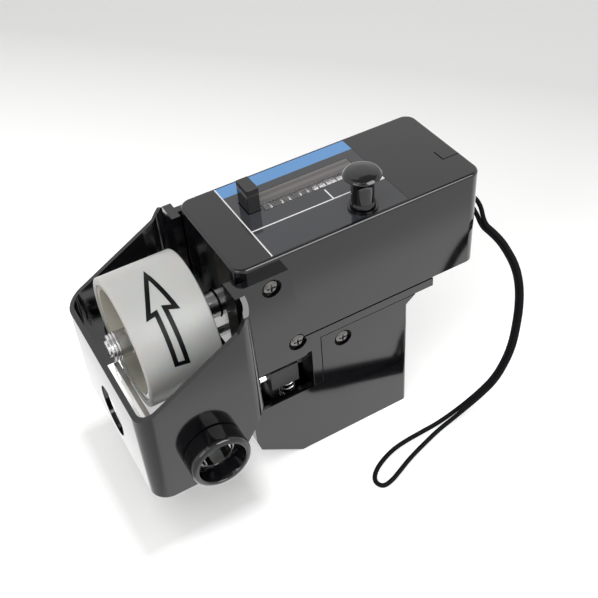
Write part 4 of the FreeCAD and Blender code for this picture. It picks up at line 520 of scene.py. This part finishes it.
black_gloss = moulded_plastic("black_gloss", (0.003, 0.003, 0.004, 1.0), 0.10, 0.002)
black_bush = moulded_plastic("black_bush", (0.003, 0.003, 0.004, 1.0), 0.06, 0.001)
black_satin = moulded_plastic("black_satin", (0.002, 0.002, 0.003, 1.0), 0.11, 0.001)
cream_wheel = moulded_plastic("cream_wheel", (0.50, 0.485, 0.43, 1.0), 0.16,
                              subsurface_weight=0.25, subsurface_scale=0.004)
white_gear = moulded_plastic("white_gear", (0.70, 0.70, 0.66, 1.0), 0.35)
drum_black = moulded_plastic("drum_black", (0.012, 0.012, 0.013, 1.0), 0.32)
drum_white = moulded_plastic("drum_white", (0.88, 0.88, 0.86, 1.0), 0.32)
ink_white = moulded_plastic("ink_white", (0.90, 0.90, 0.89, 1.0), 0.4)
ink_black = moulded_plastic("ink_black", (0.003, 0.003, 0.003, 1.0), 0.35,
                            specular_ior_level=0.12)

# %% [markdown]
# ## Metals
#
# The rollers and the posts are chromed, the wheel's shaft has a duller turned finish, the sheet
# parts inside are zinc plated, and the pins and rods are ground steel. A metal's colour hardly
# changes over it, but its roughness does, in streaks that follow the way it was ground or drawn.

# %% Metals
GRAIN_DARKER = 0.86


def metal(name, colour, roughness, streaks, stretch, bump_mm=0.0015):
    """Metal with streaks: noise stretched along the way it was worked."""
    paint = Paint(name, metallic=1.0)
    grain = paint.noise(0.8, 3.0, stretch)
    darker = [channel * GRAIN_DARKER for channel in colour[:3]] + [1.0]
    paint.drive("Base Color", paint.mixed(grain, colour, darker))
    paint.drive("Roughness", grain * streaks + roughness)
    paint.bump(grain, 0.3, bump_mm)
    return paint


chrome = metal("chrome", (0.78, 0.78, 0.79, 1.0), 0.06, 0.08, (2.0, 0.3, 0.3), 0.0008)
turned_chrome = metal("turned_chrome", (0.66, 0.66, 0.67, 1.0), 0.2, 0.1, (3.0, 0.4, 0.4))
screw_chrome = metal("screw_chrome", (0.15, 0.145, 0.14, 1.0), 0.12, 0.12, (1.0, 1.0, 1.0))
zinc = metal("zinc_plate", (0.62, 0.61, 0.57, 1.0), 0.28, 0.2, (0.2, 1.0, 1.0))
ground_steel = metal("ground_steel", (0.60, 0.60, 0.60, 1.0), 0.18, 0.12, (0.1, 1.5, 1.5))
spring_wire = metal("spring_wire", (0.52, 0.52, 0.53, 1.0), 0.22, 0.1, (1.0, 1.0, 1.0))
bronze = metal("bearing_bronze", (0.55, 0.40, 0.22, 1.0), 0.35, 0.15, (1.0, 1.0, 1.0))
# Painted shade: the carriage's alloy is made nearly black, for the dark inside of the tool where
# it sits.
alloy_painted_dark = metal("alloy_painted_dark", (0.06, 0.06, 0.06, 1.0), 0.42, 0.2, (1.0, 1.0, 1.0), 0.01)

# %% [markdown]
# ## Tyre and window
#
# The tyre is clear urethane with a milky tint, so light goes a few millimetres into it: that is
# subsurface scattering. The window is clear acrylic. Its body bends light very little, so the
# drums stay in place behind it, and its shine comes from a clear coat. A lined grey strip backs
# its far part, so only one row of figures shows there.

# %% Tyre and window
def tyre_paint():
    """Milky urethane with wiping marks along the tread."""
    paint = Paint("milky_tyre", subsurface_weight=0.3, subsurface_scale=0.006,
                  specular_ior_level=0.5)
    cloud = paint.noise(0.03, 4.0)
    paint.drive("Base Color", paint.mixed(cloud, (0.45, 0.455, 0.44, 1.0),
                                          (0.51, 0.515, 0.50, 1.0)))
    wiped = paint.noise(0.5, 3.0, stretch=(1.0, 0.2, 0.2))
    paint.drive("Roughness", wiped * 0.2 + 0.3)
    paint.bump(paint.noise(0.3, 2.0), 0.4, 0.01)
    return paint


STRIP_EDGE_MM = 6.4
STRIP_SOFT_MM = 0.4
STRIP_LINES_PER_MM = 1.4 / (2 * math.pi)
STRIP_WAVE = 0.6
STRIP_ROUGHNESS = 0.12


def window_paint():
    """Clear acrylic with a trace of dust. Its strip is a second shader, mixed in by a mask."""
    paint = Paint("clear_acrylic", transmission_weight=1.0, ior=1.08, coat_weight=1.0,
                  coat_ior=1.49, coat_roughness=0.03)
    x, y, z = paint.axes()
    dust = paint.noise(1.2, 3.0)
    paint.drive("Base Color", paint.mixed(dust, (0.90, 0.89, 0.91, 1.0),
                                          (0.94, 0.93, 0.95, 1.0)))
    paint.drive("Roughness", dust * 0.04)
    strip = paint.nodes.new("ShaderNodeBsdfPrincipled")
    phase = y * (STRIP_LINES_PER_MM * 2 * math.pi) + paint.noise(0.2, 1.0) * STRIP_WAVE
    paint.connect(strip.inputs["Base Color"],
                  paint.mixed(phase.sine() * 0.5 + 0.5, (0.075, 0.068, 0.066, 1.0),
                              (0.13, 0.12, 0.12, 1.0)))
    strip.inputs["Roughness"].default_value = STRIP_ROUGHNESS
    both = paint.nodes.new("ShaderNodeMixShader")
    backed = ((y - STRIP_EDGE_MM) / STRIP_SOFT_MM + 0.5).clamped()
    paint.connect(both.inputs[0], backed)
    paint.links.new(paint.surface.outputs["BSDF"], both.inputs[1])
    paint.links.new(strip.outputs["BSDF"], both.inputs[2])
    paint.links.new(both.outputs[0], paint.output.inputs["Surface"])
    return paint


milky_tyre = tyre_paint()
clear_acrylic = window_paint()

# %% [markdown]
# ## The printed label
#
# The label is one plastic sheet with flat fields of ink: a blue band along the far edge, a
# white stripe across the front end, a white line below the counter with a short decimal
# mark, and a small pointer by the knob. Each field is a rectangle in the label's own millimetres,
# so a mask is 1 inside the rectangle and 0 outside it.

# %% Label
PRINT_SOFT_MM = 0.05
POINTER_CORNER_MM = (85.2, -9.2)
POINTER_STEEPNESS = 1.2


def label_paint():
    """The label's ink: dark grey with a blue band and white lines."""
    paint = Paint("label_print")
    x, y, z = paint.axes()

    def field(low_x, high_x, low_y, high_y):
        return x.within(low_x, high_x, PRINT_SOFT_MM) * y.within(low_y, high_y, PRINT_SOFT_MM)

    band = field(19.0, 90.0, 19.8, 30.0)
    stripe = field(18.0, 19.05, -30.0, 30.0)
    line = field(19.0, 88.4, -9.25, -8.55)
    decimal = field(60.8, 61.5, -8.9, -0.8)
    corner_x, corner_y = POINTER_CORNER_MM
    below_slope = (x - corner_x) * POINTER_STEEPNESS - (y - corner_y) > 0.0
    pointer = field(corner_x, 88.6, corner_y, -5.0) * below_slope
    white = (stripe + line + decimal + pointer).clamped()
    cloud = paint.noise(0.04, 3.0)
    ground = paint.mixed(cloud, (0.022, 0.024, 0.030, 1.0), (0.030, 0.032, 0.040, 1.0))
    blue = paint.mixed(cloud, (0.085, 0.25, 0.55, 1.0), (0.10, 0.29, 0.60, 1.0))
    paint.drive("Base Color", paint.mixed(white, paint.mixed(band, ground, blue), grey(0.78)))
    paint.drive("Roughness", paint.noise(1.5, 3.0) * 0.06 + 0.05)
    paint.bump(white + paint.noise(0.8, 2.0) * 0.4, 0.25, 0.01)
    return paint


label_print = label_paint()

# %% [markdown]
# ## Pieces that keep their CAD shape
#
# Sheet parts, gears, shafts and screws are right as they are, and so are the number drums, the
# wheel's disc, the label and the window. They only need a finish, which goes into the material
# slots of the CAD object.

# %% Dress the CAD nodes
def dress(paint, *nodes):
    for node in nodes:
        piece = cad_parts[node]
        for place in piece.material_slots:
            place.material = paint.material


dress(screw_chrome, "guard_screws", "grip_screws")
dress(turned_chrome, "wheel_shaft", "shaft_collars")
dress(chrome, "roller_axle_right", "roller_axle_left", "press_roller_right",
      "press_roller_left", "guide_posts", "bush_liners")
dress(zinc, "chassis_plate", "bearing_bracket", "counter_frame", "reset_comb", "rocker",
      "roller_tie")
dress(ground_steel, "strap_pin", "counter_shaft", "transfer_shaft", "lay_shaft",
      "plunger_rod", "plunger_dowel", "rocker_pivot_pin", "rocker_clip", "carriage_dowel")
dress(white_gear, "wheel_gear", "lay_gear_front", "lay_gear_rear", "counter_pinion",
      *[f"transfer_pinion_{index}" for index in range(1, 5)])
dress(drum_black, "number_drum_1", "number_drum_2", "number_drum_3")
dress(drum_white, "number_drum_4", "number_drum_5")
dress(bronze, "shaft_bearings")
dress(alloy_painted_dark, "press_carriage")
dress(cream_wheel, "wheel_disc")
dress(black_bush, "bush_nuts", "knob_collar")
dress(label_print, "label_plate")
dress(clear_acrylic, "counter_window")

# %% [markdown]
# ## Mouldings with soft edges
#
# No moulding has a knife edge: the tool that cut the mould leaves a radius of a few tenths of a
# millimetre, and that is where a polished part shows its bright lines. A copy of the CAD mesh
# is merged, its flat triangles are joined again, and a Bevel modifier rounds what is left.

# %% Soften the mouldings
MERGE_M = 2e-6
FLAT_ANGLE = math.radians(0.8)
EDGE_ANGLE = math.radians(14)


def soften(node, body, paint, radius_mm, segments=3):
    """A bevelled copy that stands for a CAD node."""
    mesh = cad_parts[node].data.copy()
    work = bmesh.new()
    work.from_mesh(mesh)
    bmesh.ops.remove_doubles(work, verts=work.verts, dist=MERGE_M)
    bmesh.ops.dissolve_limit(work, angle_limit=FLAT_ANGLE, verts=work.verts, edges=work.edges)
    work.to_mesh(mesh)
    work.free()
    mesh.materials.clear()
    mesh.materials.append(paint.material)
    mesh.polygons.foreach_set("use_smooth", [True] * len(mesh.polygons))
    piece = bpy.data.objects.new(f"{node}_moulding", mesh)
    bpy.context.scene.collection.objects.link(piece)
    bevel = piece.modifiers.new("edge radius", "BEVEL")
    bevel.width = radius_mm * MM
    bevel.segments = segments
    bevel.limit_method = "ANGLE"
    bevel.angle_limit = EDGE_ANGLE
    bevel.use_clamp_overlap = True
    even = piece.modifiers.new("flat faces stay flat", "WEIGHTED_NORMAL")
    even.mode = "FACE_AREA"
    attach(piece, body)
    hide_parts(node)
    print(f"{node}: {len(mesh.polygons)} faces before its bevel")


soften("housing_cover", "frame", black_gloss, 0.6)
soften("wheel_guard", "frame", black_gloss, 0.9, 4)
soften("frame_saddle", "frame", black_gloss, 0.3)
soften("grip_body", "frame", black_gloss, 0.4)
soften("reset_button", "button", black_satin, 0.5)

# %% [markdown]
# ## Turned pieces
#
# The tyre, the guide bushes, the rings on the shaft's end and the knob are bodies of revolution
# with generous roundings. Each is a profile with softened corners, in millimetres along its
# axis and out from it, carried round that axis. The overall sizes come from the CAD boxes.

# %% Tyre
TYRE_THICKNESS = 3.4
BORE_ROUNDING = 0.25
TREAD_ROUNDING = 0.9
tread = WHEEL_RADIUS / MM
tyre_bore = tread - TYRE_THICKNESS
half_width = WHEEL_WIDTH / MM / 2
tyre_profile = softened(
    [(-half_width, tyre_bore), (-half_width, tread), (half_width, tread), (half_width, tyre_bore)],
    [BORE_ROUNDING, TREAD_ROUNDING, TREAD_ROUNDING, BORE_ROUNDING], 7)
points, faces = turned_grid(tyre_profile, "X", (WHEEL_MIDDLE, 0.0, WHEEL_Z), 180)
solid_piece("milky_tyre", points, faces, milky_tyre, "wheel", ["wheel_tyre"])

# %% Guide bushes
BUSH_BARREL = 12.0
BUSH_THROAT = 9.1
BUSH_MOUTH = 11.7
BUSH_SHOULDER = 6.4
BUSH_CONE = 8.0
BUSH_LIP_ROUNDING = 2.6


def guide_bush(side, node):
    """One bush: barrel, shoulder, rounded lip and a cone that leads into the bore."""
    low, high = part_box(node)
    length = (high.y - low.y) / MM
    outer = (high.z - low.z) / MM / 2
    centre = ((low.x + high.x) / 2, low.y if side > 0 else high.y, (low.z + high.z) / 2)
    profile = softened(
        [(0, BUSH_THROAT), (0, BUSH_BARREL), (BUSH_SHOULDER, BUSH_BARREL), (BUSH_SHOULDER, outer),
         (length, outer), (length, BUSH_MOUTH), (length - BUSH_CONE, BUSH_THROAT)],
        [0.3, 0.3, 0.0, 0.5, BUSH_LIP_ROUNDING, 0.7, 1.5], 9)
    profile[:, 0] *= side
    points, faces = turned_grid(profile, "Y", centre, 160)
    solid_piece(f"{node}_turned", points, faces, black_bush, "frame", [node])


guide_bush(-1, "guide_bush_right")
guide_bush(1, "guide_bush_left")

# %% Rings on the shaft's front end
RING_COUNT = 3
RING_DEPTH = 2.8
RING_STEP_DOWN = 0.25
RING_ROUNDING = 0.25
GROOVE_WIDTH = 0.22
GROOVE_DEPTH = 0.9


def shaft_rings():
    """Rounded rings side by side, each a little smaller than the one behind it. The profile
    starts at the shaft, and goes over the rings from the rear one to the front one."""
    low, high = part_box("shaft_clips")
    length = (high.x - low.x) / MM
    radius = (high.z - low.z) / MM / 2
    shaft_radius = radius - RING_DEPTH
    pitch = length / RING_COUNT
    corners = [(0.0, shaft_radius), (length, shaft_radius)]
    rounding = [0.0, 0.0]
    for ring in range(RING_COUNT):
        top = radius - ring * RING_STEP_DOWN
        floor_of_groove = top - GROOVE_DEPTH
        rear = length - ring * pitch
        front = rear - pitch
        if ring > 0:
            rear -= GROOVE_WIDTH / 2
        corners += [(rear, top), (front + GROOVE_WIDTH / 2, top),
                    (front + GROOVE_WIDTH / 2, floor_of_groove),
                    (front - GROOVE_WIDTH / 2, floor_of_groove)]
        rounding += [RING_ROUNDING, RING_ROUNDING, 0.0, 0.0]
    # The front ring has no groove before it: its last corner is in line with the shaft's end.
    corners[-1] = (0.0, floor_of_groove)
    centre = (low.x, (low.y + high.y) / 2, (low.z + high.z) / 2)
    points, faces = turned_grid(softened(corners, rounding), "X", centre, 96)
    solid_piece("shaft_rings", points, faces, turned_chrome, "wheel",
                ["shaft_clips"], sharp=60.0)


shaft_rings()

# %% Pull knob
knob_low, knob_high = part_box("pull_knob")
knob_height = (knob_high.z - knob_low.z) / MM
cap = (knob_high.x - knob_low.x) / MM / 2
knob_centre = ((knob_low.x + knob_high.x) / 2, (knob_low.y + knob_high.y) / 2, knob_low.z)
CROWN = 1.9
RIM = 1.6
WAIST = 5.3
FOOT = 5.9
ROD_RADIUS = 3.0
knob_profile = softened(
    [(0, ROD_RADIUS), (0, FOOT), (1.2, FOOT), (2.4, WAIST), (4.0, WAIST),
     (knob_height / 2, WAIST), (knob_height - 6.2, WAIST),
     (knob_height - CROWN - RIM, cap - 1.4), (knob_height - CROWN - RIM * 0.5, cap),
     (knob_height - CROWN * 0.55, cap * 0.84), (knob_height - CROWN * 0.12, cap * 0.42),
     (knob_height, 0.0), (knob_height * 0.75, 0.0), (knob_height * 0.75, ROD_RADIUS)],
    [0.2, 0.3, 0.4, 0.4, 0.0, 0.0, 1.6, 1.0, 0.6, 0.9, 1.2, 0.0, 0.0, 0.2], 7)
points, faces = turned_grid(knob_profile, "Z", knob_centre, 128)
solid_piece("knob_turned", points, faces, black_satin, "knob", ["pull_knob"])

# %% [markdown]
# ## Springs
#
# A spring is a wire carried along a helix whose ends stand upright on their seats. The press
# springs get shorter when the knob is pulled and the carriage comes down, and the reset spring
# when the button is pressed; here each is wound over the full height of its CAD box.

# %% Springs
POST_RADIUS_MM = 2.5
BEND_IN_WIRES = 2.1


def spring_path(centre, low, high, radius, turns, bend, steps_per_turn=28):
    """Upright tail, helix, upright tail: the helix's radius is constant and its height grows
    with the angle; the tails leave it at the helix's own ends."""
    angle = np.linspace(0, 2 * np.pi * turns, int(turns * steps_per_turn))
    height = np.interp(angle, [0, angle[-1]], [low + bend, high - bend])
    helix = np.stack([centre[0] + radius * np.cos(angle), centre[1] + radius * np.sin(angle),
                      height], axis=-1)
    foot = np.array([[helix[0, 0], helix[0, 1] - bend * 0.8, low],
                     [helix[0, 0], helix[0, 1] - bend * 0.7, low + bend * 0.6]])
    head = np.array([[helix[-1, 0], helix[-1, 1] + bend * 0.7, high - bend * 0.6],
                     [helix[-1, 0], helix[-1, 1] + bend * 0.8, high]])
    return np.concatenate([foot, helix, head])


def springs(name, node, places, radius, wire, turns):
    """One mesh for the springs of a node, each wound over the full height of its box."""
    low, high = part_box(node)
    bend = BEND_IN_WIRES * wire * MM
    grids = [tube_grid(spring_path(place, low.z, high.z, radius * MM, turns, bend),
                       wire * MM / 2, 12) for place in places]
    points = np.concatenate([grid[0] for grid in grids])
    faces = np.concatenate([grid[1] + index * len(grids[0][0])
                            for index, grid in enumerate(grids)])
    piece = solid_piece(name, points, faces, spring_wire, "frame", [node])
    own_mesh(piece)


post_low, post_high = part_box("guide_posts")
post_x = (post_low.x + post_high.x) / 2
post_y = post_high.y - POST_RADIUS_MM * MM
springs("press_springs_wound", "press_springs", [(post_x, -post_y), (post_x, post_y)],
        radius=3.8, wire=0.9, turns=7)
reset_low, reset_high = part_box("reset_spring")
reset_place = ((reset_low.x + reset_high.x) / 2, (reset_low.y + reset_high.y) / 2)
springs("reset_spring_wound", "reset_spring", [reset_place], radius=2.8, wire=0.6, turns=4)

# %% [markdown]
# ## Figures on the drums
#
# Each drum carries the figures 0 to 9, a tenth of a turn apart. A figure is a ribbon that
# follows a few strokes in a box one unit wide and one high. The ribbon is laid on the drum by
# turning its height into an angle. The arrow on the tyre is made in the same way.

# %% Ribbons on round surfaces
RIBBON_STEP_MM = 0.25
RIBBON_LINES = (1, 0.5, 0, -0.5, -1)
FIGURES = {
    "0": [[(0.5, 0), (0.12, 0), (0, 0.1), (0, 0.9), (0.12, 1), (0.88, 1), (1, 0.9), (1, 0.1),
           (0.88, 0), (0.5, 0)]],
    "1": [[(0.25, 0.8), (0.55, 1), (0.55, 0)]],
    "2": [[(0, 0.75), (0.05, 1), (0.95, 1), (1, 0.6), (0.5, 0.4), (0, 0), (1, 0)]],
    "3": [[(0, 0.85), (0.1, 1), (0.9, 1), (1, 0.75), (0.8, 0.53), (0.4, 0.53)],
          [(0.4, 0.53), (0.9, 0.53), (1, 0.25), (0.9, 0), (0.1, 0), (0, 0.15)]],
    "4": [[(0.75, 0), (0.75, 1), (0, 0.28), (1, 0.28)]],
    "5": [[(0.95, 1), (0.1, 1), (0.05, 0.58), (0.8, 0.62), (1, 0.35), (0.9, 0), (0.1, 0),
           (0, 0.15)]],
    "6": [[(0.9, 0.95), (0.4, 1), (0, 0.7), (0, 0.15), (0.2, 0), (0.85, 0), (1, 0.2),
           (1, 0.45), (0.8, 0.58), (0.1, 0.5)]],
    "7": [[(0, 1), (1, 1), (0.4, 0)]],
    "8": [[(0.5, 0.53), (0.05, 0.6), (0.1, 1), (0.9, 1), (0.95, 0.6), (0.5, 0.53), (0, 0.45),
           (0.05, 0), (0.95, 0), (1, 0.45), (0.5, 0.53)]],
    "9": [[(0.1, 0.05), (0.6, 0), (1, 0.3), (1, 0.85), (0.8, 1), (0.15, 1), (0, 0.8), (0, 0.55),
           (0.2, 0.42), (0.9, 0.5)]],
}


def smoothed(points, rounds=3):
    """Chaikin's corner cutting: each side is replaced by its middle half."""
    for _ in range(rounds):
        near = points[:-1] * 0.75 + points[1:] * 0.25
        far = points[:-1] * 0.25 + points[1:] * 0.75
        inner = np.stack([near, far], axis=1).reshape(-1, 2)
        points = np.concatenate([points[:1], inner, points[-1:]])
    return points


def ribbon(stroke, width):
    """Points along a stroke, in its own plane: five lines of them, from the ribbon's left edge
    to its right edge, so that it lies close on a round surface."""
    spacing = np.linalg.norm(np.diff(stroke, axis=0), axis=1)
    length = np.concatenate([[0], np.cumsum(spacing)])
    count = max(4, int(length[-1] / RIBBON_STEP_MM))
    even = np.linspace(0, length[-1], count)
    middle = np.stack([np.interp(even, length, stroke[:, axis]) for axis in (0, 1)], axis=-1)
    heading = np.gradient(middle, axis=0)
    heading /= np.linalg.norm(heading, axis=1, keepdims=True)
    aside = np.stack([-heading[:, 1], heading[:, 0]], axis=-1) * width / 2
    return np.stack([middle + aside * line for line in RIBBON_LINES], axis=1)


def wrapped(flat, radius, turn, centre_x, centre_y, centre_z):
    """(across, up) millimetres laid on a cylinder along X: up becomes an angle round it.
    turn is where up is 0, measured from the top towards the user's side."""
    angle = turn - flat[..., 1] / radius
    return np.stack([centre_x + flat[..., 0] * MM, centre_y - radius * MM * np.sin(angle),
                     centre_z + radius * MM * np.cos(angle)], axis=-1)


FIGURE_WIDTH = 4.0
FIGURE_HEIGHT = 6.0
FIGURE_STROKE = 0.8
INK_ABOVE_MM = 0.03
FIRST_FIGURE = math.radians(10.0)
FIGURE_TURN = math.radians(36)


def ink_piece(name, strips, radius, turn_of, centre, paint, body):
    """Flat strips wrapped on a cylinder, each given a thickness towards the axis."""
    points = []
    faces = []
    count = 0
    for strip, turn in zip(strips, turn_of):
        rows, columns = strip.shape[:2]
        outer = wrapped(strip, radius + INK_ABOVE_MM, turn, *centre).reshape(-1, 3)
        inner = wrapped(strip, radius - INK_ABOVE_MM, turn, *centre).reshape(-1, 3)
        top = grid_faces(rows, columns, False, False)
        rim = np.concatenate([np.arange(columns), np.arange(1, rows) * columns + columns - 1,
                              (rows - 1) * columns + np.arange(columns - 2, -1, -1),
                              np.arange(rows - 2, 0, -1) * columns])
        after = np.roll(rim, -1)
        base = len(outer)
        wall = np.stack([rim, after, after + base, rim + base], axis=-1)
        both = np.concatenate([top, top[:, ::-1] + base, wall[:, ::-1]])
        points.append(np.concatenate([outer, inner]))
        faces.append(both + count)
        count += 2 * base
    solid_piece(name, np.concatenate(points), np.concatenate(faces), paint, body)


def drum_figures(number, paint):
    """All ten figures of one drum."""
    low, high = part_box(f"number_drum_{number}")
    radius = (high.z - low.z) / MM / 2
    centre = ((low.x + high.x) / 2, (low.y + high.y) / 2, (low.z + high.z) / 2)
    strips = []
    turns = []
    for value in range(10):
        for stroke in FIGURES[str(value)]:
            shape = (np.array(stroke) - 0.5) * (FIGURE_WIDTH, FIGURE_HEIGHT)
            strips.append(ribbon(smoothed(shape), FIGURE_STROKE))
            turns.append(FIRST_FIGURE + value * FIGURE_TURN)
    ink_piece(f"drum_{number}_figures", strips, radius, turns, centre, paint,
              f"drum_{number}")


for number in (1, 2, 3):
    drum_figures(number, ink_white)
for number in (4, 5):
    drum_figures(number, ink_black)

# %% Arrow on the tyre
# Corners of the arrow, in millimetres: across from the housing's front face, and round
# the tread from its top towards the user, negative away from the user.
ARROW = np.array([(-29.0, 3.9), (-23.1, -21.4), (-28.0, -19.8), (-27.2, -46.2), (-34.4, -45.0),
                  (-34.6, -20.4), (-38.9, -21.2)])
ARROW_LINE = 2.1
ARROW_STEPS = 30
ARROW_COLUMNS = 9


def outline_band(corners, width, steps):
    """A band along a closed outline: each corner moves inwards along the sum of the two side
    normals, both outlines are divided evenly, and more lines of points lie between them."""
    following = np.roll(corners, -1, axis=0)
    heading = following - corners
    heading /= np.linalg.norm(heading, axis=1, keepdims=True)
    inward = np.stack([heading[:, 1], -heading[:, 0]], axis=-1)
    before = np.roll(inward, 1, axis=0)
    shift = (inward + before) / (1 + np.sum(inward * before, axis=1, keepdims=True))
    inner = corners + shift * width
    share = np.arange(steps)[None, :, None] / steps

    def divided(loop):
        ends = np.roll(loop, -1, axis=0)
        dense = (loop[:, None, :] * (1 - share) + ends[:, None, :] * share).reshape(-1, 2)
        return np.concatenate([dense, dense[:1]])

    outside = divided(corners)
    across = np.linspace(0, 1, ARROW_COLUMNS)[None, :, None]
    return outside[:, None, :] * (1 - across) + divided(inner)[:, None, :] * across


arrow_band = outline_band(ARROW, ARROW_LINE, ARROW_STEPS)
ink_piece("tyre_arrow", [arrow_band], WHEEL_RADIUS / MM, [0.0], (FRONT, 0.0, WHEEL_Z), ink_black,
          "wheel")

# %% [markdown]
# ## The wrist cord
#
# The cord is one 2.4 mm braided cord, doubled: it leaves the whipped end at the pin, hangs down
# to the table, goes round a loop and comes back beside itself. Its line is a smooth spline. The
# 49 control points are the CAD route's, in millimetres in the frame's own axes. Places along the
# middle of the hanging pair, with a judged depth, and along the loop, at the table's height,
# were read from the photo. A program turned them into millimetres through the fitted
# camera, and set the two hanging strands each side of that middle. The six points at the pin
# were chosen one by one. The braid is relief on a tube that follows the spline: strands run round
# it both ways and pass over and under each other.

# %% Cord route
CORD_DIAMETER = 2.4 * MM
RING_SPACING = 0.16 * MM
CORD_ROUTE_MM = [
    (94.1, -12.0, 107.2), (100.2, -13.2, 106.2), (102.0, -19.4, 101.2), (101.3, -25.5, 96.1),
    (103.1, -30.4, 94.1), (105.0, -35.3, 90.8), (105.7, -40.2, 87.2), (106.3, -44.6, 82.7),
    (106.5, -48.0, 77.4), (105.6, -51.4, 70.8), (103.9, -54.3, 62.5), (101.6, -56.6, 53.6),
    (98.6, -58.5, 41.7), (94.1, -59.3, 31.5), (88.3, -59.5, 22.9), (81.0, -59.0, 17.1),
    (73.0, -58.0, 11.5), (67.1, -53.5, 1.3), (57.9, -54.7, 1.3), (47.1, -55.0, 1.3),
    (36.5, -55.3, 1.3), (27.4, -56.5, 1.3), (18.0, -60.0, 1.3), (11.8, -63.9, 1.3),
    (8.9, -68.6, 1.3), (11.0, -73.0, 1.3), (16.7, -72.3, 1.3), (23.5, -69.5, 1.3),
    (32.0, -65.8, 1.3), (43.3, -62.2, 1.3), (54.9, -58.8, 1.3), (66.2, -56.6, 1.3),
    (72.5, -60.8, 11.9), (80.7, -61.8, 17.6), (88.2, -62.3, 23.5), (94.3, -61.9, 32.4),
    (99.0, -61.1, 42.7), (102.1, -59.0, 54.9), (104.5, -56.7, 63.8), (106.3, -53.6, 72.3),
    (107.2, -50.0, 79.1), (107.1, -46.4, 84.7), (106.4, -41.8, 89.3), (105.7, -36.7, 93.1),
    (103.7, -31.6, 96.5), (101.8, -26.5, 98.7), (105.0, -18.4, 105.2), (101.2, -12.8, 109.6),
    (94.1, -12.0, 110.0),
]


def spline_line(points_mm, samples_per_side=24):
    """The points along a NURBS spline, read from a curve that has no thickness."""
    curve = bpy.data.curves.new("route", "CURVE")
    curve.dimensions = "3D"
    spline = curve.splines.new("NURBS")
    spline.points.add(len(points_mm) - 1)
    flat = np.concatenate([np.array(points_mm) * MM, np.ones((len(points_mm), 1))], axis=1)
    spline.points.foreach_set("co", flat.ravel())
    spline.order_u = 3
    spline.use_endpoint_u = True
    spline.resolution_u = samples_per_side
    holder = bpy.data.objects.new("route", curve)
    line = bpy.data.meshes.new_from_object(holder)
    found = np.empty(len(line.vertices) * 3)
    line.vertices.foreach_get("co", found)
    bpy.data.objects.remove(holder)
    bpy.data.curves.remove(curve)
    bpy.data.meshes.remove(line)
    return found.reshape(-1, 3)


def evenly(path, spacing):
    """A path divided into equal steps along its length, and that length."""
    steps = np.linalg.norm(np.diff(path, axis=0), axis=1)
    travelled = np.concatenate([[0], np.cumsum(steps)])
    even = np.linspace(0, travelled[-1], int(travelled[-1] / spacing))
    places = [np.interp(even, travelled, path[:, axis]) for axis in range(3)]
    return np.stack(places, axis=-1), travelled[-1]


cord_line, cord_length = evenly(spline_line(CORD_ROUTE_MM), RING_SPACING)
print(f"cord {cord_length / MM:.0f} mm long, {len(cord_line)} rings")

# %% Braided cord
STRANDS = 8
BRAID_PITCH_MM = 9.0
BRAID_RELIEF = 0.09
UNDER_STEP = 0.2
CORD_COLUMNS = 32


def braid_radii(length, rings, columns, radius):
    """Radius over the cord: two sets of strands wind opposite ways, each a rounded ridge, and
    which one is on top changes from crossing to crossing."""
    along = np.linspace(0, length, rings)[:, None] / (BRAID_PITCH_MM * MM) * 2 * np.pi
    around = np.linspace(0, 2 * np.pi, columns, endpoint=False)[None, :]
    right = np.cos((around + along) * STRANDS / 2)
    left = np.cos((around - along) * STRANDS / 2)
    under = UNDER_STEP * (0.5 + 0.5 * np.sign(right * left))
    relief = np.maximum(np.abs(right) * (1 - UNDER_STEP + under), np.abs(left) * (1 - under))
    return radius * (1 - BRAID_RELIEF * (1 - relief))


def cord_paint():
    """Black braided polyester: matt and uneven."""
    paint = Paint("black_braid", specular_ior_level=0.1)
    fibre = paint.noise(3.0, 3.0)
    paint.drive("Base Color", paint.mixed(fibre, (0.002, 0.002, 0.003, 1.0),
                                          (0.009, 0.009, 0.011, 1.0)))
    paint.drive("Roughness", fibre * 0.25 + 0.6)
    paint.bump(fibre, 0.6, 0.04)
    return paint


black_braid = cord_paint()
cord_radii = braid_radii(cord_length, len(cord_line), CORD_COLUMNS, CORD_DIAMETER / 2)
points, faces = tube_grid(cord_line, cord_radii, CORD_COLUMNS)
cord_piece = solid_piece("wrist_cord", points, faces, black_braid, "frame",
                         ["strap_cord"], sharp=180.0)

# %% [markdown]
# The cord's ends are whipped round the steel pin in the rear recess: three close turns of
# the same cord, pulled tight.

# %% Whipping round the pin
KNOT_TURNS = 3
KNOT_STEPS = 40
knot_low, knot_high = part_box("strap_knot")
knot_middle = (knot_low + knot_high) / 2
knot_angle = np.linspace(0, 2 * np.pi * KNOT_TURNS, KNOT_STEPS * KNOT_TURNS)
knot_wire = (knot_high.z - knot_low.z) / KNOT_TURNS
knot_radius = (knot_high.x - knot_low.x) / 2 - knot_wire / 2
knot_path = np.stack([
    knot_middle.x + knot_radius * np.cos(knot_angle),
    knot_middle.y + knot_radius * np.sin(knot_angle),
    np.interp(knot_angle, [0, knot_angle[-1]],
              [knot_low.z + knot_wire / 2, knot_high.z - knot_wire / 2])], axis=-1)
points, faces = tube_grid(knot_path, knot_wire / 2, 20)
solid_piece("cord_whipping", points, faces, black_braid, "frame", ["strap_knot"],
            sharp=180.0)

# %% [markdown]
# ## View transform and the end
#
# The Standard transform shows colours as they are written.

# %% Finish
bpy.context.scene.view_settings.view_transform = "Standard"
